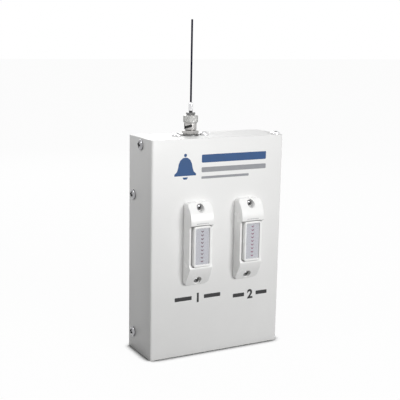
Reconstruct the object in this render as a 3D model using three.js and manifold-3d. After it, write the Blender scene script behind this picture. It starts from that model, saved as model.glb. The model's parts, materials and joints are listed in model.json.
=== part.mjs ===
// A panic button transmitter: a folded sheet steel cabinet with two emergency push buttons on its front,
// a whip antenna in a bayonet connector on its top, and a radio board and a battery inside.
// Millimetres. +Z is up, the front faces -Y, and the origin is the middle of the cabinet's underside.
import * as THREE from 'three';
import { mergeVertices } from 'three/addons/utils/BufferGeometryUtils.js';
import Module from 'manifold-3d';

const wasm = await Module();
wasm.setup();

// Cabinet
const CABINET_WIDTH = 148;
const CABINET_DEPTH = 52;
const CABINET_HEIGHT = 220;
const SHEET = 1.2;
const BEND = 2.2; // outer radius of a fold
const SEAM = 0.3; // open line between the two folded sheets
const SEAT = 0.1; // air between two parts that are fastened face to face
const FIT = 0.3; // room round a screw, pin or tube that another part holds
const RELIEF = 1; // notch cut at each end of a fold
const FLANGE_DEPTH = 20;
const FLANGE_FOOT = 8; // height at which the side flanges of the back panel start
const FLANGE_HEAD = 20; // distance of their upper ends below the top
const TAB_DROP = 14;
const TAB_WIDTH = 14;
const WALL_HOLE_RADIUS = 2.5;
const WALL_HOLE_INSET_X = 22;
const WALL_HOLE_INSET_Z = 14;

// Screws of the cabinet: height above the underside, and distance behind the middle of the depth
const UPPER_SCREW = { height: 213.4, back: -2 };
const MIDDLE_SCREW = { height: 161.5, back: 15.5 };
const LOWER_SCREW = { height: 18.6, back: 14.5 };
const SCREW_HEAD_RADIUS = 5.1;
const SCREW_HEAD_HEIGHT = 2.9;
const SCREW_RADIUS = 2.3;
const SCREW_LENGTH = 7;
const CORNER_SCREW_INSET_X = 5.2;
const CORNER_SCREW_INSET_Y = 6.8;
const FACETS = 20; // faces round a small turned part
const SCREW_FACETS = 16;
const HOLE_FACETS = 12;

// Antenna connector, with heights above the cabinet's top
const ANTENNA_X = -19.5;
const TOP_SCREW_SPACING = 30.6;
const PLATE_THICKNESS = 2;
const PLATE_MARGIN = 8;
const PLATE_DEPTH = 18;
const THREAD_RADIUS = 6.35;
const JACK_SHOULDER_RADIUS = 8;
const JACK_SHOULDER_HEIGHT = 3;
const JACK_TAIL = 10; // length of the jack below its shoulder
const JACK_TAIL_RADIUS = 4.2;
const JACK_BORE_RADIUS = 2.7;
const WASHER_RADIUS = 8.6;
const WASHER_THICKNESS = 1.5;
const NUT_ACROSS_FLATS = 14.6;
const NUT_HEIGHT = 3.3;
const BARREL_RADIUS = 4.85;
const BARREL_TOP = 13.6;
const BARREL_WALL = 0.65;
const MATING_DEPTH = 6.2;
const INSULATOR_WALL = 0.8;
const CONTACT_RADIUS = 1.3;
const SOCKET_RADIUS = 1.0;
const SOCKET_DEPTH = 5;
const BAYONET_PIN_RADIUS = 1;
const BAYONET_PIN_REACH = 5.95;
const BAYONET_PIN_HEIGHT = 10;
const BAYONET_ANGLE = 245; // degrees round the axis, seen from above, from +X
const UNLOCK_TURN = 75; // degrees
const UNLOCK_LIFT = 2.4;
const SLOT_CLEARANCE = 0.35;
const SLEEVE_BOTTOM = 5.9;
const SLEEVE_RADIUS = 6.2;
const GRIP_BOTTOM = 12.9;
const GRIP_TOP = 20.2;
const GRIP_RADIUS = 7.4;
const KNURL_TEETH = 26;
const KNURL_DEPTH = 0.45;
const GRIP_ROOF = 1.8;
const PLUG_TUBE_RADIUS = 3.9;
const PLUG_TUBE_WALL = 0.6;
const PLUG_FLANGE_THICKNESS = 1.3;
const PLUG_NECK_RADIUS = 4.1;
const GASKET_THICKNESS = 0.9;
const WAVE_WASHER_THICKNESS = 0.5;
const PIN_RADIUS = 0.68;
const PIN_REACH = 5; // height of the pin's tip above the top of the cabinet
const GLAND_ACROSS_FLATS = 8;
const GLAND_HEIGHT = 2.4;
const FERRULE_RADIUS = 2.3;
const FERRULE_TOP = 33;
const FERRULE_WALL = 1.0;
const WHIP_RADIUS = 0.75;
const WHIP_TOP = 113.6;

// Push button unit, in its own frame: x to the right, y up, z away from the cabinet's front
const UNIT_X = [-25.5, 31.9];
const UNIT_Z = 116;
const UNIT_WIDTH = 27;
const UNIT_LENGTH = 84;
const UNIT_CORNER = 4;
const UNIT_EDGE = 0.7; // rounding between the sides and the front of the housing
const UNIT_DRAFT = 0.06; // how far a side leans in for each millimetre of depth
const SHOULDER_DEPTH = 15;
const RAIL_DEPTH = 11.5;
const LOWER_SHOULDER_DEPTH = 12.9;
const HEAD_END_DEPTH = 6.2;
const FOOT_END_DEPTH = 3.4;
const HOUSING_WALL = 1.9;
const HOUSING_SIDE_WALL = 1.4;
const KEY_WIDTH = 19.4;
const KEY_LENGTH = 40.8;
const KEY_CORNER = 2.4;
const KEY_Y = -0.5; // height of the key's centre above the unit's
const KEY_DEPTH = 15.5;
const KEY_GAP = 0.8;
const KEY_EDGE = 0.7;
const KEY_WALL = 1.5;
const KEY_TRAVEL = 1.8;
const LIP_THICKNESS = 1.5;
const LIP_REACH = 1.3;
const LABEL_WIDTH = 14.8;
const LABEL_LENGTH = 36;
const LABEL_THICKNESS = 0.2;
const LENS_THICKNESS = 0.6;
const LENS_INSET = 0.4; // how far the lens lies below the key's frame
const LENS_CORNER = 0.8;
const WEB_THICKNESS = 1.2;
const POST_RADIUS = 2.2;
const BASE_THICKNESS = 1.6;
const SWITCH_SIZE = 13;
const SWITCH_HEIGHT = 4.2;
const PLUNGER_RADIUS = 2.1;
const PLUNGER_LENGTH = 4;
const UNIT_SCREW_Y = 37;
const HEAD_SCREW_SEAT = 4.6;
const FOOT_SCREW_SEAT = 2.4;
const UNIT_SCREW_HEAD_RADIUS = 3;
const UNIT_SCREW_HEAD_HEIGHT = 2;
const UNIT_SCREW_RADIUS = 1.6;
const UNIT_SCREW_LENGTH = 12;
const RECESS_RADIUS = 4;
const BOSS_RADIUS = 5.3;
const LEAD_HOLE_RADIUS = 2.6;
const LEAD_HOLE_Y = -14;

// Parts inside the cabinet
const BOARD_WIDTH = 100;
const BOARD_LENGTH = 76;
const BOARD_THICKNESS = 1.6;
const BOARD_Z = 160; // height of the board's centre
const SUPPORT_LENGTH = 9.5;
const SUPPORT_RADIUS = 3;
const SUPPORT_FOOT_RADIUS = 6;
const SUPPORT_FOOT_THICKNESS = 1;
const SUPPORT_PIN_RADIUS = 1.5;
const SUPPORT_INSET = 6;
const SHIELD_WIDTH = 34;
const SHIELD_LENGTH = 26;
const SHIELD_HEIGHT = 6;
const SHIELD_WALL = 0.5;
const CHIP_SIZE = 14;
const CHIP_HEIGHT = 1.8;
const TERMINAL_PITCH = 5;
const TERMINAL_WAYS = 6;
const TERMINAL_LENGTH = 9;
const TERMINAL_HEIGHT = 10;
const TERMINAL_HOLE = 1.5;
const TERMINAL_FACETS = 8;
const BATTERY_WIDTH = 97;
const BATTERY_DEPTH = 43;
const BATTERY_HEIGHT = 52;
const BATTERY_EDGE = 2;
const BATTERY_CORNER = 3.2;
const BATTERY_TAB_X = 38;
const BATTERY_TAB_SPACING = 24;
const BATTERY_TAB_WIDTH = 6.3;
const BATTERY_TAB_THICKNESS = 0.8;
const BATTERY_TAB_HEIGHT = 6.5;
const BRACKET_WIDTH = 24;
const BRACKET_LIP = 11;
const BRACKET_RISE = 19;
const BRACKET_SCREW_RISE = 12;
const BRACKET_SCREW_RADIUS = 1.6;
const COAX_RADIUS = 1.4;
const LEAD_RADIUS = 1.1;

const half = (size) => size / 2;
const radians = THREE.MathUtils.degToRad;
const FRONT_Y = -half(CABINET_DEPTH);
const BACK_INNER_Y = half(CABINET_DEPTH) - SHEET;
const CHASSIS_HALF = half(CABINET_WIDTH) - SHEET - SEAM;
const PLATE_TOP = -SHEET - SEAT;
const SHOULDER_TOP = PLATE_TOP - PLATE_THICKNESS - SEAT;
const JACK_BOTTOM = SHOULDER_TOP - JACK_SHOULDER_HEIGHT - JACK_TAIL;
const CONTACT_BOTTOM = JACK_BOTTOM - 2;
const FLANGE_BOTTOM = BARREL_TOP + SEAT + GASKET_THICKNESS + SEAT;
const CAVITY_TOP = GRIP_TOP - GRIP_ROOF;
const GLAND_BOTTOM = GRIP_TOP + SEAT + FIT;
const FERRULE_BOTTOM = GLAND_BOTTOM + GLAND_HEIGHT + SEAT;
const PIN_TOP = FERRULE_BOTTOM + 1;
const BOARD_BACK_Y = BACK_INNER_Y - 2 * SEAT - SUPPORT_LENGTH;
const BOARD_FRONT_Y = BOARD_BACK_Y - BOARD_THICKNESS;
const TERMINAL_BOTTOM_Z = BOARD_Z - half(BOARD_LENGTH) + 4;
const BATTERY_BACK_Y = BACK_INNER_Y - SEAT;
const BATTERY_FRONT_Y = BATTERY_BACK_Y - BATTERY_DEPTH;
const BATTERY_TOP_Z = SHEET + SEAT + BATTERY_HEIGHT;
const LENS_TOP = KEY_DEPTH - LENS_INSET;
const LENS_BOTTOM = LENS_TOP - LENS_THICKNESS;
const LABEL_BOTTOM = LENS_BOTTOM - SEAT - LABEL_THICKNESS;
const POCKET_FLOOR = LABEL_BOTTOM - SEAT;
const LIP_TOP = RAIL_DEPTH - HOUSING_WALL - FIT;
const PLUNGER_TOP = 2 * SEAT + BASE_THICKNESS + SWITCH_HEIGHT + KEY_TRAVEL + FIT;

const X = new THREE.Vector3(1, 0, 0);
const Y = new THREE.Vector3(0, 1, 0);
const Z = new THREE.Vector3(0, 0, 1);
// A shape drawn in (y, z) and extruded towards +X, and one drawn in (x, z) and extruded towards -Y
const DRAWN_YZ = new THREE.Matrix4().makeBasis(Y, Z, X);
const DRAWN_XZ = new THREE.Matrix4().makeBasis(X, Z, Y.clone().negate());

const paint = (color, roughness, metalness = 0, extra = {}) =>
  new THREE.MeshStandardMaterial({ color, roughness, metalness, ...extra });
const WHITE_PAINT = paint(0xe8e8e6, 0.45);
const WHITE_PLASTIC = paint(0xf3f3f1, 0.3);
const GREY_PLASTIC = paint(0x8b8d90, 0.6);
const BLACK_PLASTIC = paint(0x1c1d20, 0.55);
const GREEN_PLASTIC = paint(0x2f7a4a, 0.5);
const BOARD_GREEN = paint(0x1f5c3a, 0.5);
const CHROME = paint(0xd4d5d8, 0.12, 1);
const NICKEL = paint(0xb9bbbe, 0.25, 1);
const ZINC = paint(0xa9adb2, 0.4, 1);
const BRASS = paint(0xc7a253, 0.3, 1);
const WHITE_PTFE = paint(0xe9e7e0, 0.6);
const SILICONE = paint(0x9a3327, 0.7);
const WHIP_NAVY = paint(0x0b0c22, 0.45);
const LABEL_GREY = paint(0xc4c4c9, 0.8);
const CLEAR = paint(0xf2f5f7, 0.08, 0, { transparent: true, opacity: 0.25 });
const RED_PVC = paint(0xa3221c, 0.5);
const GREY_PVC = paint(0x55585c, 0.5);

// A closed geometry as a solid that can be joined and cut
function solid(geometry) {
  const plain = geometry.index ? geometry.toNonIndexed() : geometry.clone();
  plain.deleteAttribute('normal');
  plain.deleteAttribute('uv');
  const merged = mergeVertices(plain, 1e-4);
  const mesh = new wasm.Mesh({
    numProp: 3,
    vertProperties: merged.attributes.position.array,
    triVerts: new Uint32Array(merged.index.array),
  });
  return new wasm.Manifold(mesh);
}

function geometryOf(body) {
  const { vertProperties, triVerts } = body.getMesh();
  const geometry = new THREE.BufferGeometry();
  geometry.setAttribute('position', new THREE.BufferAttribute(vertProperties, 3));
  geometry.setIndex(new THREE.BufferAttribute(triVerts, 1));
  const shaded = geometry.toNonIndexed();
  shaded.computeVertexNormals();
  return shaded;
}

function part(name, body, material) {
  const mesh = new THREE.Mesh(geometryOf(body), material);
  mesh.name = name;
  return mesh;
}

function block(x0, x1, y0, y1, z0, z1) {
  const geometry = new THREE.BoxGeometry(x1 - x0, y1 - y0, z1 - z0);
  return solid(geometry.translate((x0 + x1) / 2, (y0 + y1) / 2, (z0 + z1) / 2));
}

// A cylinder along Z
function disc(radius, z0, z1, facets = FACETS) {
  const geometry = new THREE.CylinderGeometry(radius, radius, z1 - z0, facets);
  return solid(geometry.rotateX(half(Math.PI)).translate(0, 0, (z0 + z1) / 2));
}

// Cylinders along X and Y that drill a hole at (y, z) or (x, z)
const drillX = (radius, x0, x1, y, z) =>
  disc(radius, x0, x1, HOLE_FACETS).rotate([0, 90, 0]).translate([0, y, z]);
const drillY = (radius, y0, y1, x, z) =>
  disc(radius, -y1, -y0, HOLE_FACETS).rotate([90, 0, 0]).translate([x, 0, z]);

// A profile of [radius, height] pairs turned round Z
function turned(profile, facets = FACETS) {
  const points = profile.map(([radius, height]) => new THREE.Vector2(radius, height));
  return solid(new THREE.LatheGeometry(points, facets).rotateX(half(Math.PI)));
}

// A ring or tube, whose profile closes on itself
const tube = (inner, outer, z0, z1, facets = SCREW_FACETS) =>
  turned([[inner, z0], [outer, z0], [outer, z1], [inner, z1], [inner, z0]], facets);

function extruded(shape, depth, bevel = {}) {
  const settings = { depth, bevelEnabled: false, curveSegments: 2, ...bevel };
  return new THREE.ExtrudeGeometry(shape, settings);
}

function roundedRectangle(width, length, radius) {
  const [x, y] = [half(width), half(length)];
  const shape = new THREE.Shape();
  shape.absarc(x - radius, y - radius, radius, 0, half(Math.PI), false);
  shape.absarc(radius - x, y - radius, radius, half(Math.PI), Math.PI, false);
  shape.absarc(radius - x, radius - y, radius, Math.PI, 1.5 * Math.PI, false);
  shape.absarc(x - radius, radius - y, radius, 1.5 * Math.PI, 2 * Math.PI, false);
  shape.closePath();
  return shape;
}

function roundedBlock(width, length, radius, z0, z1) {
  return solid(extruded(roundedRectangle(width, length, radius), z1 - z0).translate(0, 0, z0));
}

function hexagon(acrossFlats) {
  const radius = acrossFlats / Math.sqrt(3);
  const corners = Array.from({ length: 6 }, (_, i) => {
    const angle = radians(60 * i + 30);
    return new THREE.Vector2(radius * Math.cos(angle), radius * Math.sin(angle));
  });
  return new THREE.Shape(corners);
}

// A hexagon whose corners are turned off by a cone at its upper edge
function hexNut(acrossFlats, z0, z1) {
  const corner = acrossFlats / Math.sqrt(3);
  const chamfer = corner - half(acrossFlats);
  const prism = solid(extruded(hexagon(acrossFlats), z1 - z0).translate(0, 0, z0));
  const profile = [
    [0, z0],
    [corner + SEAT, z0],
    [corner + SEAT, z1 - chamfer],
    [half(acrossFlats), z1],
    [0, z1],
  ];
  return prism.intersect(turned(profile));
}

// The edge view of a folded sheet. The corners run along one face, and the sheet lies to their left.
function foldedSheet(corners, sheet, bend) {
  const points = corners.map(([x, y]) => new THREE.Vector2(x, y));
  const ways = points.slice(1).map((point, i) => point.clone().sub(points[i]).normalize());
  const left = (way) => new THREE.Vector2(-way.y, way.x);
  const folds = ways.slice(1).map((after, i) => {
    const before = ways[i];
    const turnsLeft = before.cross(after) > 0;
    const near = turnsLeft ? bend : bend - sheet;
    const far = turnsLeft ? bend - sheet : bend;
    const centre = points[i + 1].clone().addScaledVector(before, -near).addScaledVector(after, near);
    const start = after.clone().negate().angle();
    return { centre, near, far, turnsLeft, start, end: before.angle() };
  });
  const headInner = points[0].clone().addScaledVector(left(ways[0]), sheet);
  const shape = new THREE.Shape();
  shape.moveTo(headInner.x, headInner.y);
  shape.lineTo(points[0].x, points[0].y);
  for (const { centre, near, turnsLeft, start, end } of folds)
    shape.absarc(centre.x, centre.y, near, start, end, !turnsLeft);
  const tail = points.at(-1);
  shape.lineTo(tail.x, tail.y);
  const tailInner = tail.clone().addScaledVector(left(ways.at(-1)), sheet);
  shape.lineTo(tailInner.x, tailInner.y);
  for (const { centre, far, turnsLeft, start, end } of folds.reverse())
    shape.absarc(centre.x, centre.y, far, end, start, turnsLeft);
  shape.closePath();
  return shape;
}

// A domed head with a cross recess, standing on z = 0, and its shank below
function crossScrew(headRadius, headHeight, shankRadius, length) {
  const skirt = 0.25 * headHeight;
  const head = [[shankRadius, 0], [headRadius, 0], [headRadius, skirt]];
  for (const angle of [35, 65, 90].map(radians)) {
    const radius = angle < half(Math.PI) ? headRadius * Math.cos(angle) ** 0.7 : 0;
    head.push([radius, skirt + (headHeight - skirt) * Math.sin(angle)]);
  }
  const profile = [[0, -length], [shankRadius, -length], ...head];
  const [slot, width, depth] = [headRadius * 0.95, headRadius * 0.2, headHeight * 0.5];
  const arm = block(-half(slot), half(slot), -half(width), half(width), headHeight - depth, headHeight + 1);
  return turned(profile, SCREW_FACETS).subtract(arm).subtract(arm.rotate([0, 0, 90]));
}

const cabinetScrew = () => crossScrew(SCREW_HEAD_RADIUS, SCREW_HEAD_HEIGHT, SCREW_RADIUS, SCREW_LENGTH);
const topScrewXs = [ANTENNA_X - half(TOP_SCREW_SPACING), ANTENNA_X + half(TOP_SCREW_SPACING)];
const cornerScrewX = half(CABINET_WIDTH) - CORNER_SCREW_INSET_X;
const cornerScrewY = FRONT_Y + CORNER_SCREW_INSET_Y;

// The front and both sides, folded from one sheet
function frontCover() {
  const corners = [
    [-half(CABINET_WIDTH), half(CABINET_DEPTH)],
    [-half(CABINET_WIDTH), FRONT_Y],
    [half(CABINET_WIDTH), FRONT_Y],
    [half(CABINET_WIDTH), half(CABINET_DEPTH)],
  ];
  let cover = solid(extruded(foldedSheet(corners, SHEET, BEND), CABINET_HEIGHT));
  for (const { height, back } of [UPPER_SCREW, MIDDLE_SCREW, LOWER_SCREW])
    cover = cover.subtract(drillX(SCREW_RADIUS + FIT, -CABINET_WIDTH, CABINET_WIDTH, back, height));
  const [outside, inside] = [FRONT_Y - 1, FRONT_Y + SHEET + 1];
  for (const x of UNIT_X) {
    for (const y of [-UNIT_SCREW_Y, UNIT_SCREW_Y])
      cover = cover.subtract(drillY(UNIT_SCREW_RADIUS + FIT, outside, inside, x, UNIT_Z + y));
    cover = cover.subtract(drillY(LEAD_HOLE_RADIUS, outside, inside, x, UNIT_Z + LEAD_HOLE_Y));
  }
  return part('front_cover', cover, WHITE_PAINT);
}

// The back, top and bottom, folded from one sheet, with flanges and tabs that take the side screws
function rearChassis() {
  const [back, top] = [half(CABINET_DEPTH), CABINET_HEIGHT];
  const front = FRONT_Y + SHEET + SEAM;
  const flangeTop = top - FLANGE_HEAD;
  const tabFront = UPPER_SCREW.back - half(TAB_WIDTH);
  const tabBack = UPPER_SCREW.back + half(TAB_WIDTH);
  const foldStart = CHASSIS_HALF - BEND;
  const corners = [[front, 0], [back, 0], [back, top], [front, top]];
  const wrap = extruded(foldedSheet(corners, SHEET, BEND), 2 * CHASSIS_HALF).applyMatrix4(DRAWN_YZ);
  let chassis = solid(wrap.translate(-CHASSIS_HALF, 0, 0));
  for (const side of [-1, 1]) {
    const [near, far] = side > 0 ? [foldStart, CHASSIS_HALF + 1] : [-CHASSIS_HALF - 1, -foldStart];
    chassis = chassis.subtract(
      block(near, far, back - BEND, back + 1, FLANGE_FOOT - RELIEF, flangeTop + RELIEF),
    );
    chassis = chassis.subtract(block(near, far, tabFront - RELIEF, tabBack + RELIEF, top - BEND, top + 1));
    const edge = side * CHASSIS_HALF;
    const root = side * (foldStart - BEND);
    const flange = [[edge, back - FLANGE_DEPTH], [edge, back], [root, back]];
    const tab = [[edge, top - TAB_DROP], [edge, top], [root, top]];
    if (side < 0) {
      flange.reverse();
      tab.reverse();
    }
    const flangeSheet = extruded(foldedSheet(flange, SHEET, BEND), flangeTop - FLANGE_FOOT);
    const tabSheet = extruded(foldedSheet(tab, SHEET, BEND), TAB_WIDTH).applyMatrix4(DRAWN_XZ);
    chassis = chassis.add(solid(flangeSheet.translate(0, 0, FLANGE_FOOT)));
    chassis = chassis.add(solid(tabSheet.translate(0, tabBack, 0)));
  }
  for (const { height, back: y } of [UPPER_SCREW, MIDDLE_SCREW, LOWER_SCREW])
    chassis = chassis.subtract(drillX(SCREW_RADIUS + FIT, -CABINET_WIDTH, CABINET_WIDTH, y, height));
  const topHole = (radius, x, y) => disc(radius, top - SHEET - 1, top + 1).translate([x, y, 0]);
  chassis = chassis.subtract(topHole(THREAD_RADIUS + FIT, ANTENNA_X, 0));
  for (const x of topScrewXs) chassis = chassis.subtract(topHole(SCREW_RADIUS + FIT, x, 0));
  chassis = chassis.subtract(topHole(SCREW_RADIUS + FIT, cornerScrewX, cornerScrewY));
  const wallX = half(CABINET_WIDTH) - WALL_HOLE_INSET_X;
  for (const x of [-wallX, wallX])
    for (const z of [half(CABINET_HEIGHT) - WALL_HOLE_INSET_Z, CABINET_HEIGHT - WALL_HOLE_INSET_Z])
      chassis = chassis.subtract(drillY(WALL_HOLE_RADIUS, BACK_INNER_Y - 1, back + 1, x, z));
  const bracketHole = BATTERY_TOP_Z + BRACKET_SCREW_RISE;
  const bracketRadius = BRACKET_SCREW_RADIUS + FIT;
  chassis = chassis.subtract(drillY(bracketRadius, BACK_INNER_Y - 1, back + 1, 0, bracketHole));
  return part('rear_chassis', chassis, WHITE_PAINT);
}

function cabinetScrews() {
  const places = { upper: UPPER_SCREW, middle: MIDDLE_SCREW, lower: LOWER_SCREW };
  const screws = new THREE.Group();
  for (const [side, sign] of [['left', -1], ['right', 1]])
    for (const [level, { height, back }] of Object.entries(places)) {
      const screw = part(`${side}_${level}_screw`, cabinetScrew(), CHROME);
      screw.rotation.y = sign * half(Math.PI);
      screw.position.set(sign * (half(CABINET_WIDTH) + SEAT), back, height);
      screws.add(screw);
    }
  const tops = { top_left_screw: [topScrewXs[0], 0], top_right_screw: [topScrewXs[1], 0] };
  tops.top_corner_screw = [cornerScrewX, cornerScrewY];
  for (const [name, [x, y]] of Object.entries(tops)) {
    const screw = part(name, cabinetScrew(), CHROME);
    screw.position.set(x, y, CABINET_HEIGHT + SEAT);
    screws.add(screw);
  }
  return screws;
}

// The plate under the top that the two top screws and the antenna jack clamp
function antennaPlate() {
  const width = TOP_SCREW_SPACING + 2 * PLATE_MARGIN;
  let plate = roundedBlock(width, PLATE_DEPTH, 2, PLATE_TOP - PLATE_THICKNESS, PLATE_TOP);
  plate = plate.subtract(disc(THREAD_RADIUS + FIT, PLATE_TOP - 5, 1));
  for (const x of [-half(TOP_SCREW_SPACING), half(TOP_SCREW_SPACING)])
    plate = plate.subtract(disc(SCREW_RADIUS + FIT, PLATE_TOP - 5, 1).translate([x, 0, 0]));
  return part('antenna_plate', plate, ZINC);
}

// The jack: a solder tail, a shoulder under the plate, a threaded neck and the barrel with two bayonet pins
function antennaJack() {
  const shoulderBottom = SHOULDER_TOP - JACK_SHOULDER_HEIGHT;
  const neckTop = SLEEVE_BOTTOM - 0.6;
  const matingBottom = BARREL_TOP - MATING_DEPTH;
  const profile = [
    [JACK_BORE_RADIUS, JACK_BOTTOM],
    [JACK_TAIL_RADIUS, JACK_BOTTOM],
    [JACK_TAIL_RADIUS, shoulderBottom],
    [JACK_SHOULDER_RADIUS, shoulderBottom],
    [JACK_SHOULDER_RADIUS, SHOULDER_TOP],
    [THREAD_RADIUS, SHOULDER_TOP],
    [THREAD_RADIUS, neckTop - 0.5],
    [THREAD_RADIUS - 0.5, neckTop],
    [BARREL_RADIUS, neckTop],
    [BARREL_RADIUS, BARREL_TOP - 0.3],
    [BARREL_RADIUS - 0.2, BARREL_TOP],
    [BARREL_RADIUS - BARREL_WALL, BARREL_TOP],
    [BARREL_RADIUS - BARREL_WALL, matingBottom],
    [JACK_BORE_RADIUS, matingBottom],
    [JACK_BORE_RADIUS, JACK_BOTTOM],
  ];
  let jack = turned(profile);
  for (const turn of [0, 180]) {
    const pin = disc(BAYONET_PIN_RADIUS, BARREL_RADIUS - half(BARREL_WALL), BAYONET_PIN_REACH, 16);
    const placed = pin.rotate([0, 90, 0]).rotate([0, 0, BAYONET_ANGLE + turn]);
    jack = jack.add(placed.translate([0, 0, BAYONET_PIN_HEIGHT]));
  }
  const insulatorOuter = JACK_BORE_RADIUS - FIT;
  const insulatorTop = matingBottom + 2;
  const insulator = tube(insulatorOuter - INSULATOR_WALL, insulatorOuter, JACK_BOTTOM, insulatorTop);
  const socketTop = insulatorTop - FIT;
  const contact = disc(CONTACT_RADIUS, CONTACT_BOTTOM, socketTop, 16);
  const socket = disc(SOCKET_RADIUS, socketTop - SOCKET_DEPTH, socketTop + 1, 16);
  return [
    part('jack_body', jack, NICKEL),
    part('jack_insulator', insulator, WHITE_PTFE),
    part('jack_contact', contact.subtract(socket), BRASS),
  ];
}

function jackFasteners() {
  const hole = THREAD_RADIUS + FIT;
  const [bottom, top] = [SEAT, SEAT + WASHER_THICKNESS];
  const edge = 0.4;
  const profile = [
    [hole, bottom],
    [WASHER_RADIUS, bottom],
    [WASHER_RADIUS, top - edge],
    [WASHER_RADIUS - edge, top],
    [hole, top],
    [hole, bottom],
  ];
  const nutBottom = top + SEAT;
  const nut = hexNut(NUT_ACROSS_FLATS, nutBottom, nutBottom + NUT_HEIGHT);
  return [
    part('jack_washer', turned(profile), NICKEL),
    part('jack_nut', nut.subtract(disc(hole, 0, nutBottom + NUT_HEIGHT + 1)), NICKEL),
  ];
}

// The plug that carries the whip: outer contact, insulator, centre pin, gasket and spring washer
function antennaPlug() {
  const inner = PLUG_TUBE_RADIUS - PLUG_TUBE_WALL;
  const flangeRadius = SLEEVE_RADIUS - 0.6;
  const flangeTop = FLANGE_BOTTOM + PLUG_FLANGE_THICKNESS;
  const tubeBottom = BARREL_TOP - MATING_DEPTH + FIT;
  const neckTop = GLAND_BOTTOM - SEAT;
  const profile = [
    [inner, tubeBottom],
    [PLUG_TUBE_RADIUS - 0.2, tubeBottom],
    [PLUG_TUBE_RADIUS, tubeBottom + 0.4],
    [PLUG_TUBE_RADIUS, FLANGE_BOTTOM],
    [flangeRadius, FLANGE_BOTTOM],
    [flangeRadius, flangeTop],
    [PLUG_NECK_RADIUS, flangeTop],
    [PLUG_NECK_RADIUS, neckTop],
    [inner, neckTop],
    [inner, tubeBottom],
  ];
  const insulatorBottom = BARREL_TOP - SEAT;
  const insulator = tube(PIN_RADIUS + FIT, inner - FIT, insulatorBottom, neckTop - FIT);
  const pin = [
    [0, PIN_REACH],
    [0.3, PIN_REACH],
    [PIN_RADIUS, PIN_REACH + 1],
    [PIN_RADIUS, PIN_TOP],
    [0, PIN_TOP],
  ];
  const gasketInner = PLUG_TUBE_RADIUS + FIT;
  const gasketBottom = BARREL_TOP + SEAT;
  const gasket = tube(gasketInner, BARREL_RADIUS, gasketBottom, gasketBottom + GASKET_THICKNESS);
  const washerTop = CAVITY_TOP - SEAT;
  const washerBottom = washerTop - WAVE_WASHER_THICKNESS;
  const washer = tube(PLUG_NECK_RADIUS + FIT, flangeRadius - 0.2, washerBottom, washerTop);
  return [
    part('plug_body', turned(profile), NICKEL),
    part('plug_insulator', insulator, WHITE_PTFE),
    part('plug_pin', turned(pin, HOLE_FACETS), BRASS),
    part('plug_gasket', gasket, SILICONE),
    part('plug_spring_washer', washer, NICKEL),
  ];
}

// A slot through the wall of the bayonet sleeve. It climbs from one angle and height to another.
function rampSlot(angles, heights, width) {
  const [inner, outer, steps] = [SLEEVE_RADIUS - 3, SLEEVE_RADIUS + 1, 10];
  const positions = [];
  const faces = [];
  for (let i = 0; i <= steps; i += 1) {
    const angle = radians(THREE.MathUtils.lerp(...angles, i / steps));
    const height = THREE.MathUtils.lerp(...heights, i / steps);
    const edges = [[inner, -half(width)], [outer, -half(width)], [outer, half(width)], [inner, half(width)]];
    for (const [radius, rise] of edges)
      positions.push(radius * Math.cos(angle), radius * Math.sin(angle), height + rise);
    if (i === steps) break;
    for (let side = 0; side < 4; side += 1) {
      const [a, b] = [4 * i + side, 4 * i + ((side + 1) % 4)];
      faces.push(a, b + 4, b, a, a + 4, b + 4);
    }
  }
  const end = 4 * steps;
  faces.push(0, 1, 2, 0, 2, 3, end, end + 3, end + 2, end, end + 2, end + 1);
  const geometry = new THREE.BufferGeometry();
  geometry.setAttribute('position', new THREE.Float32BufferAttribute(positions, 3));
  geometry.setIndex(faces);
  return solid(geometry);
}

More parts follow.
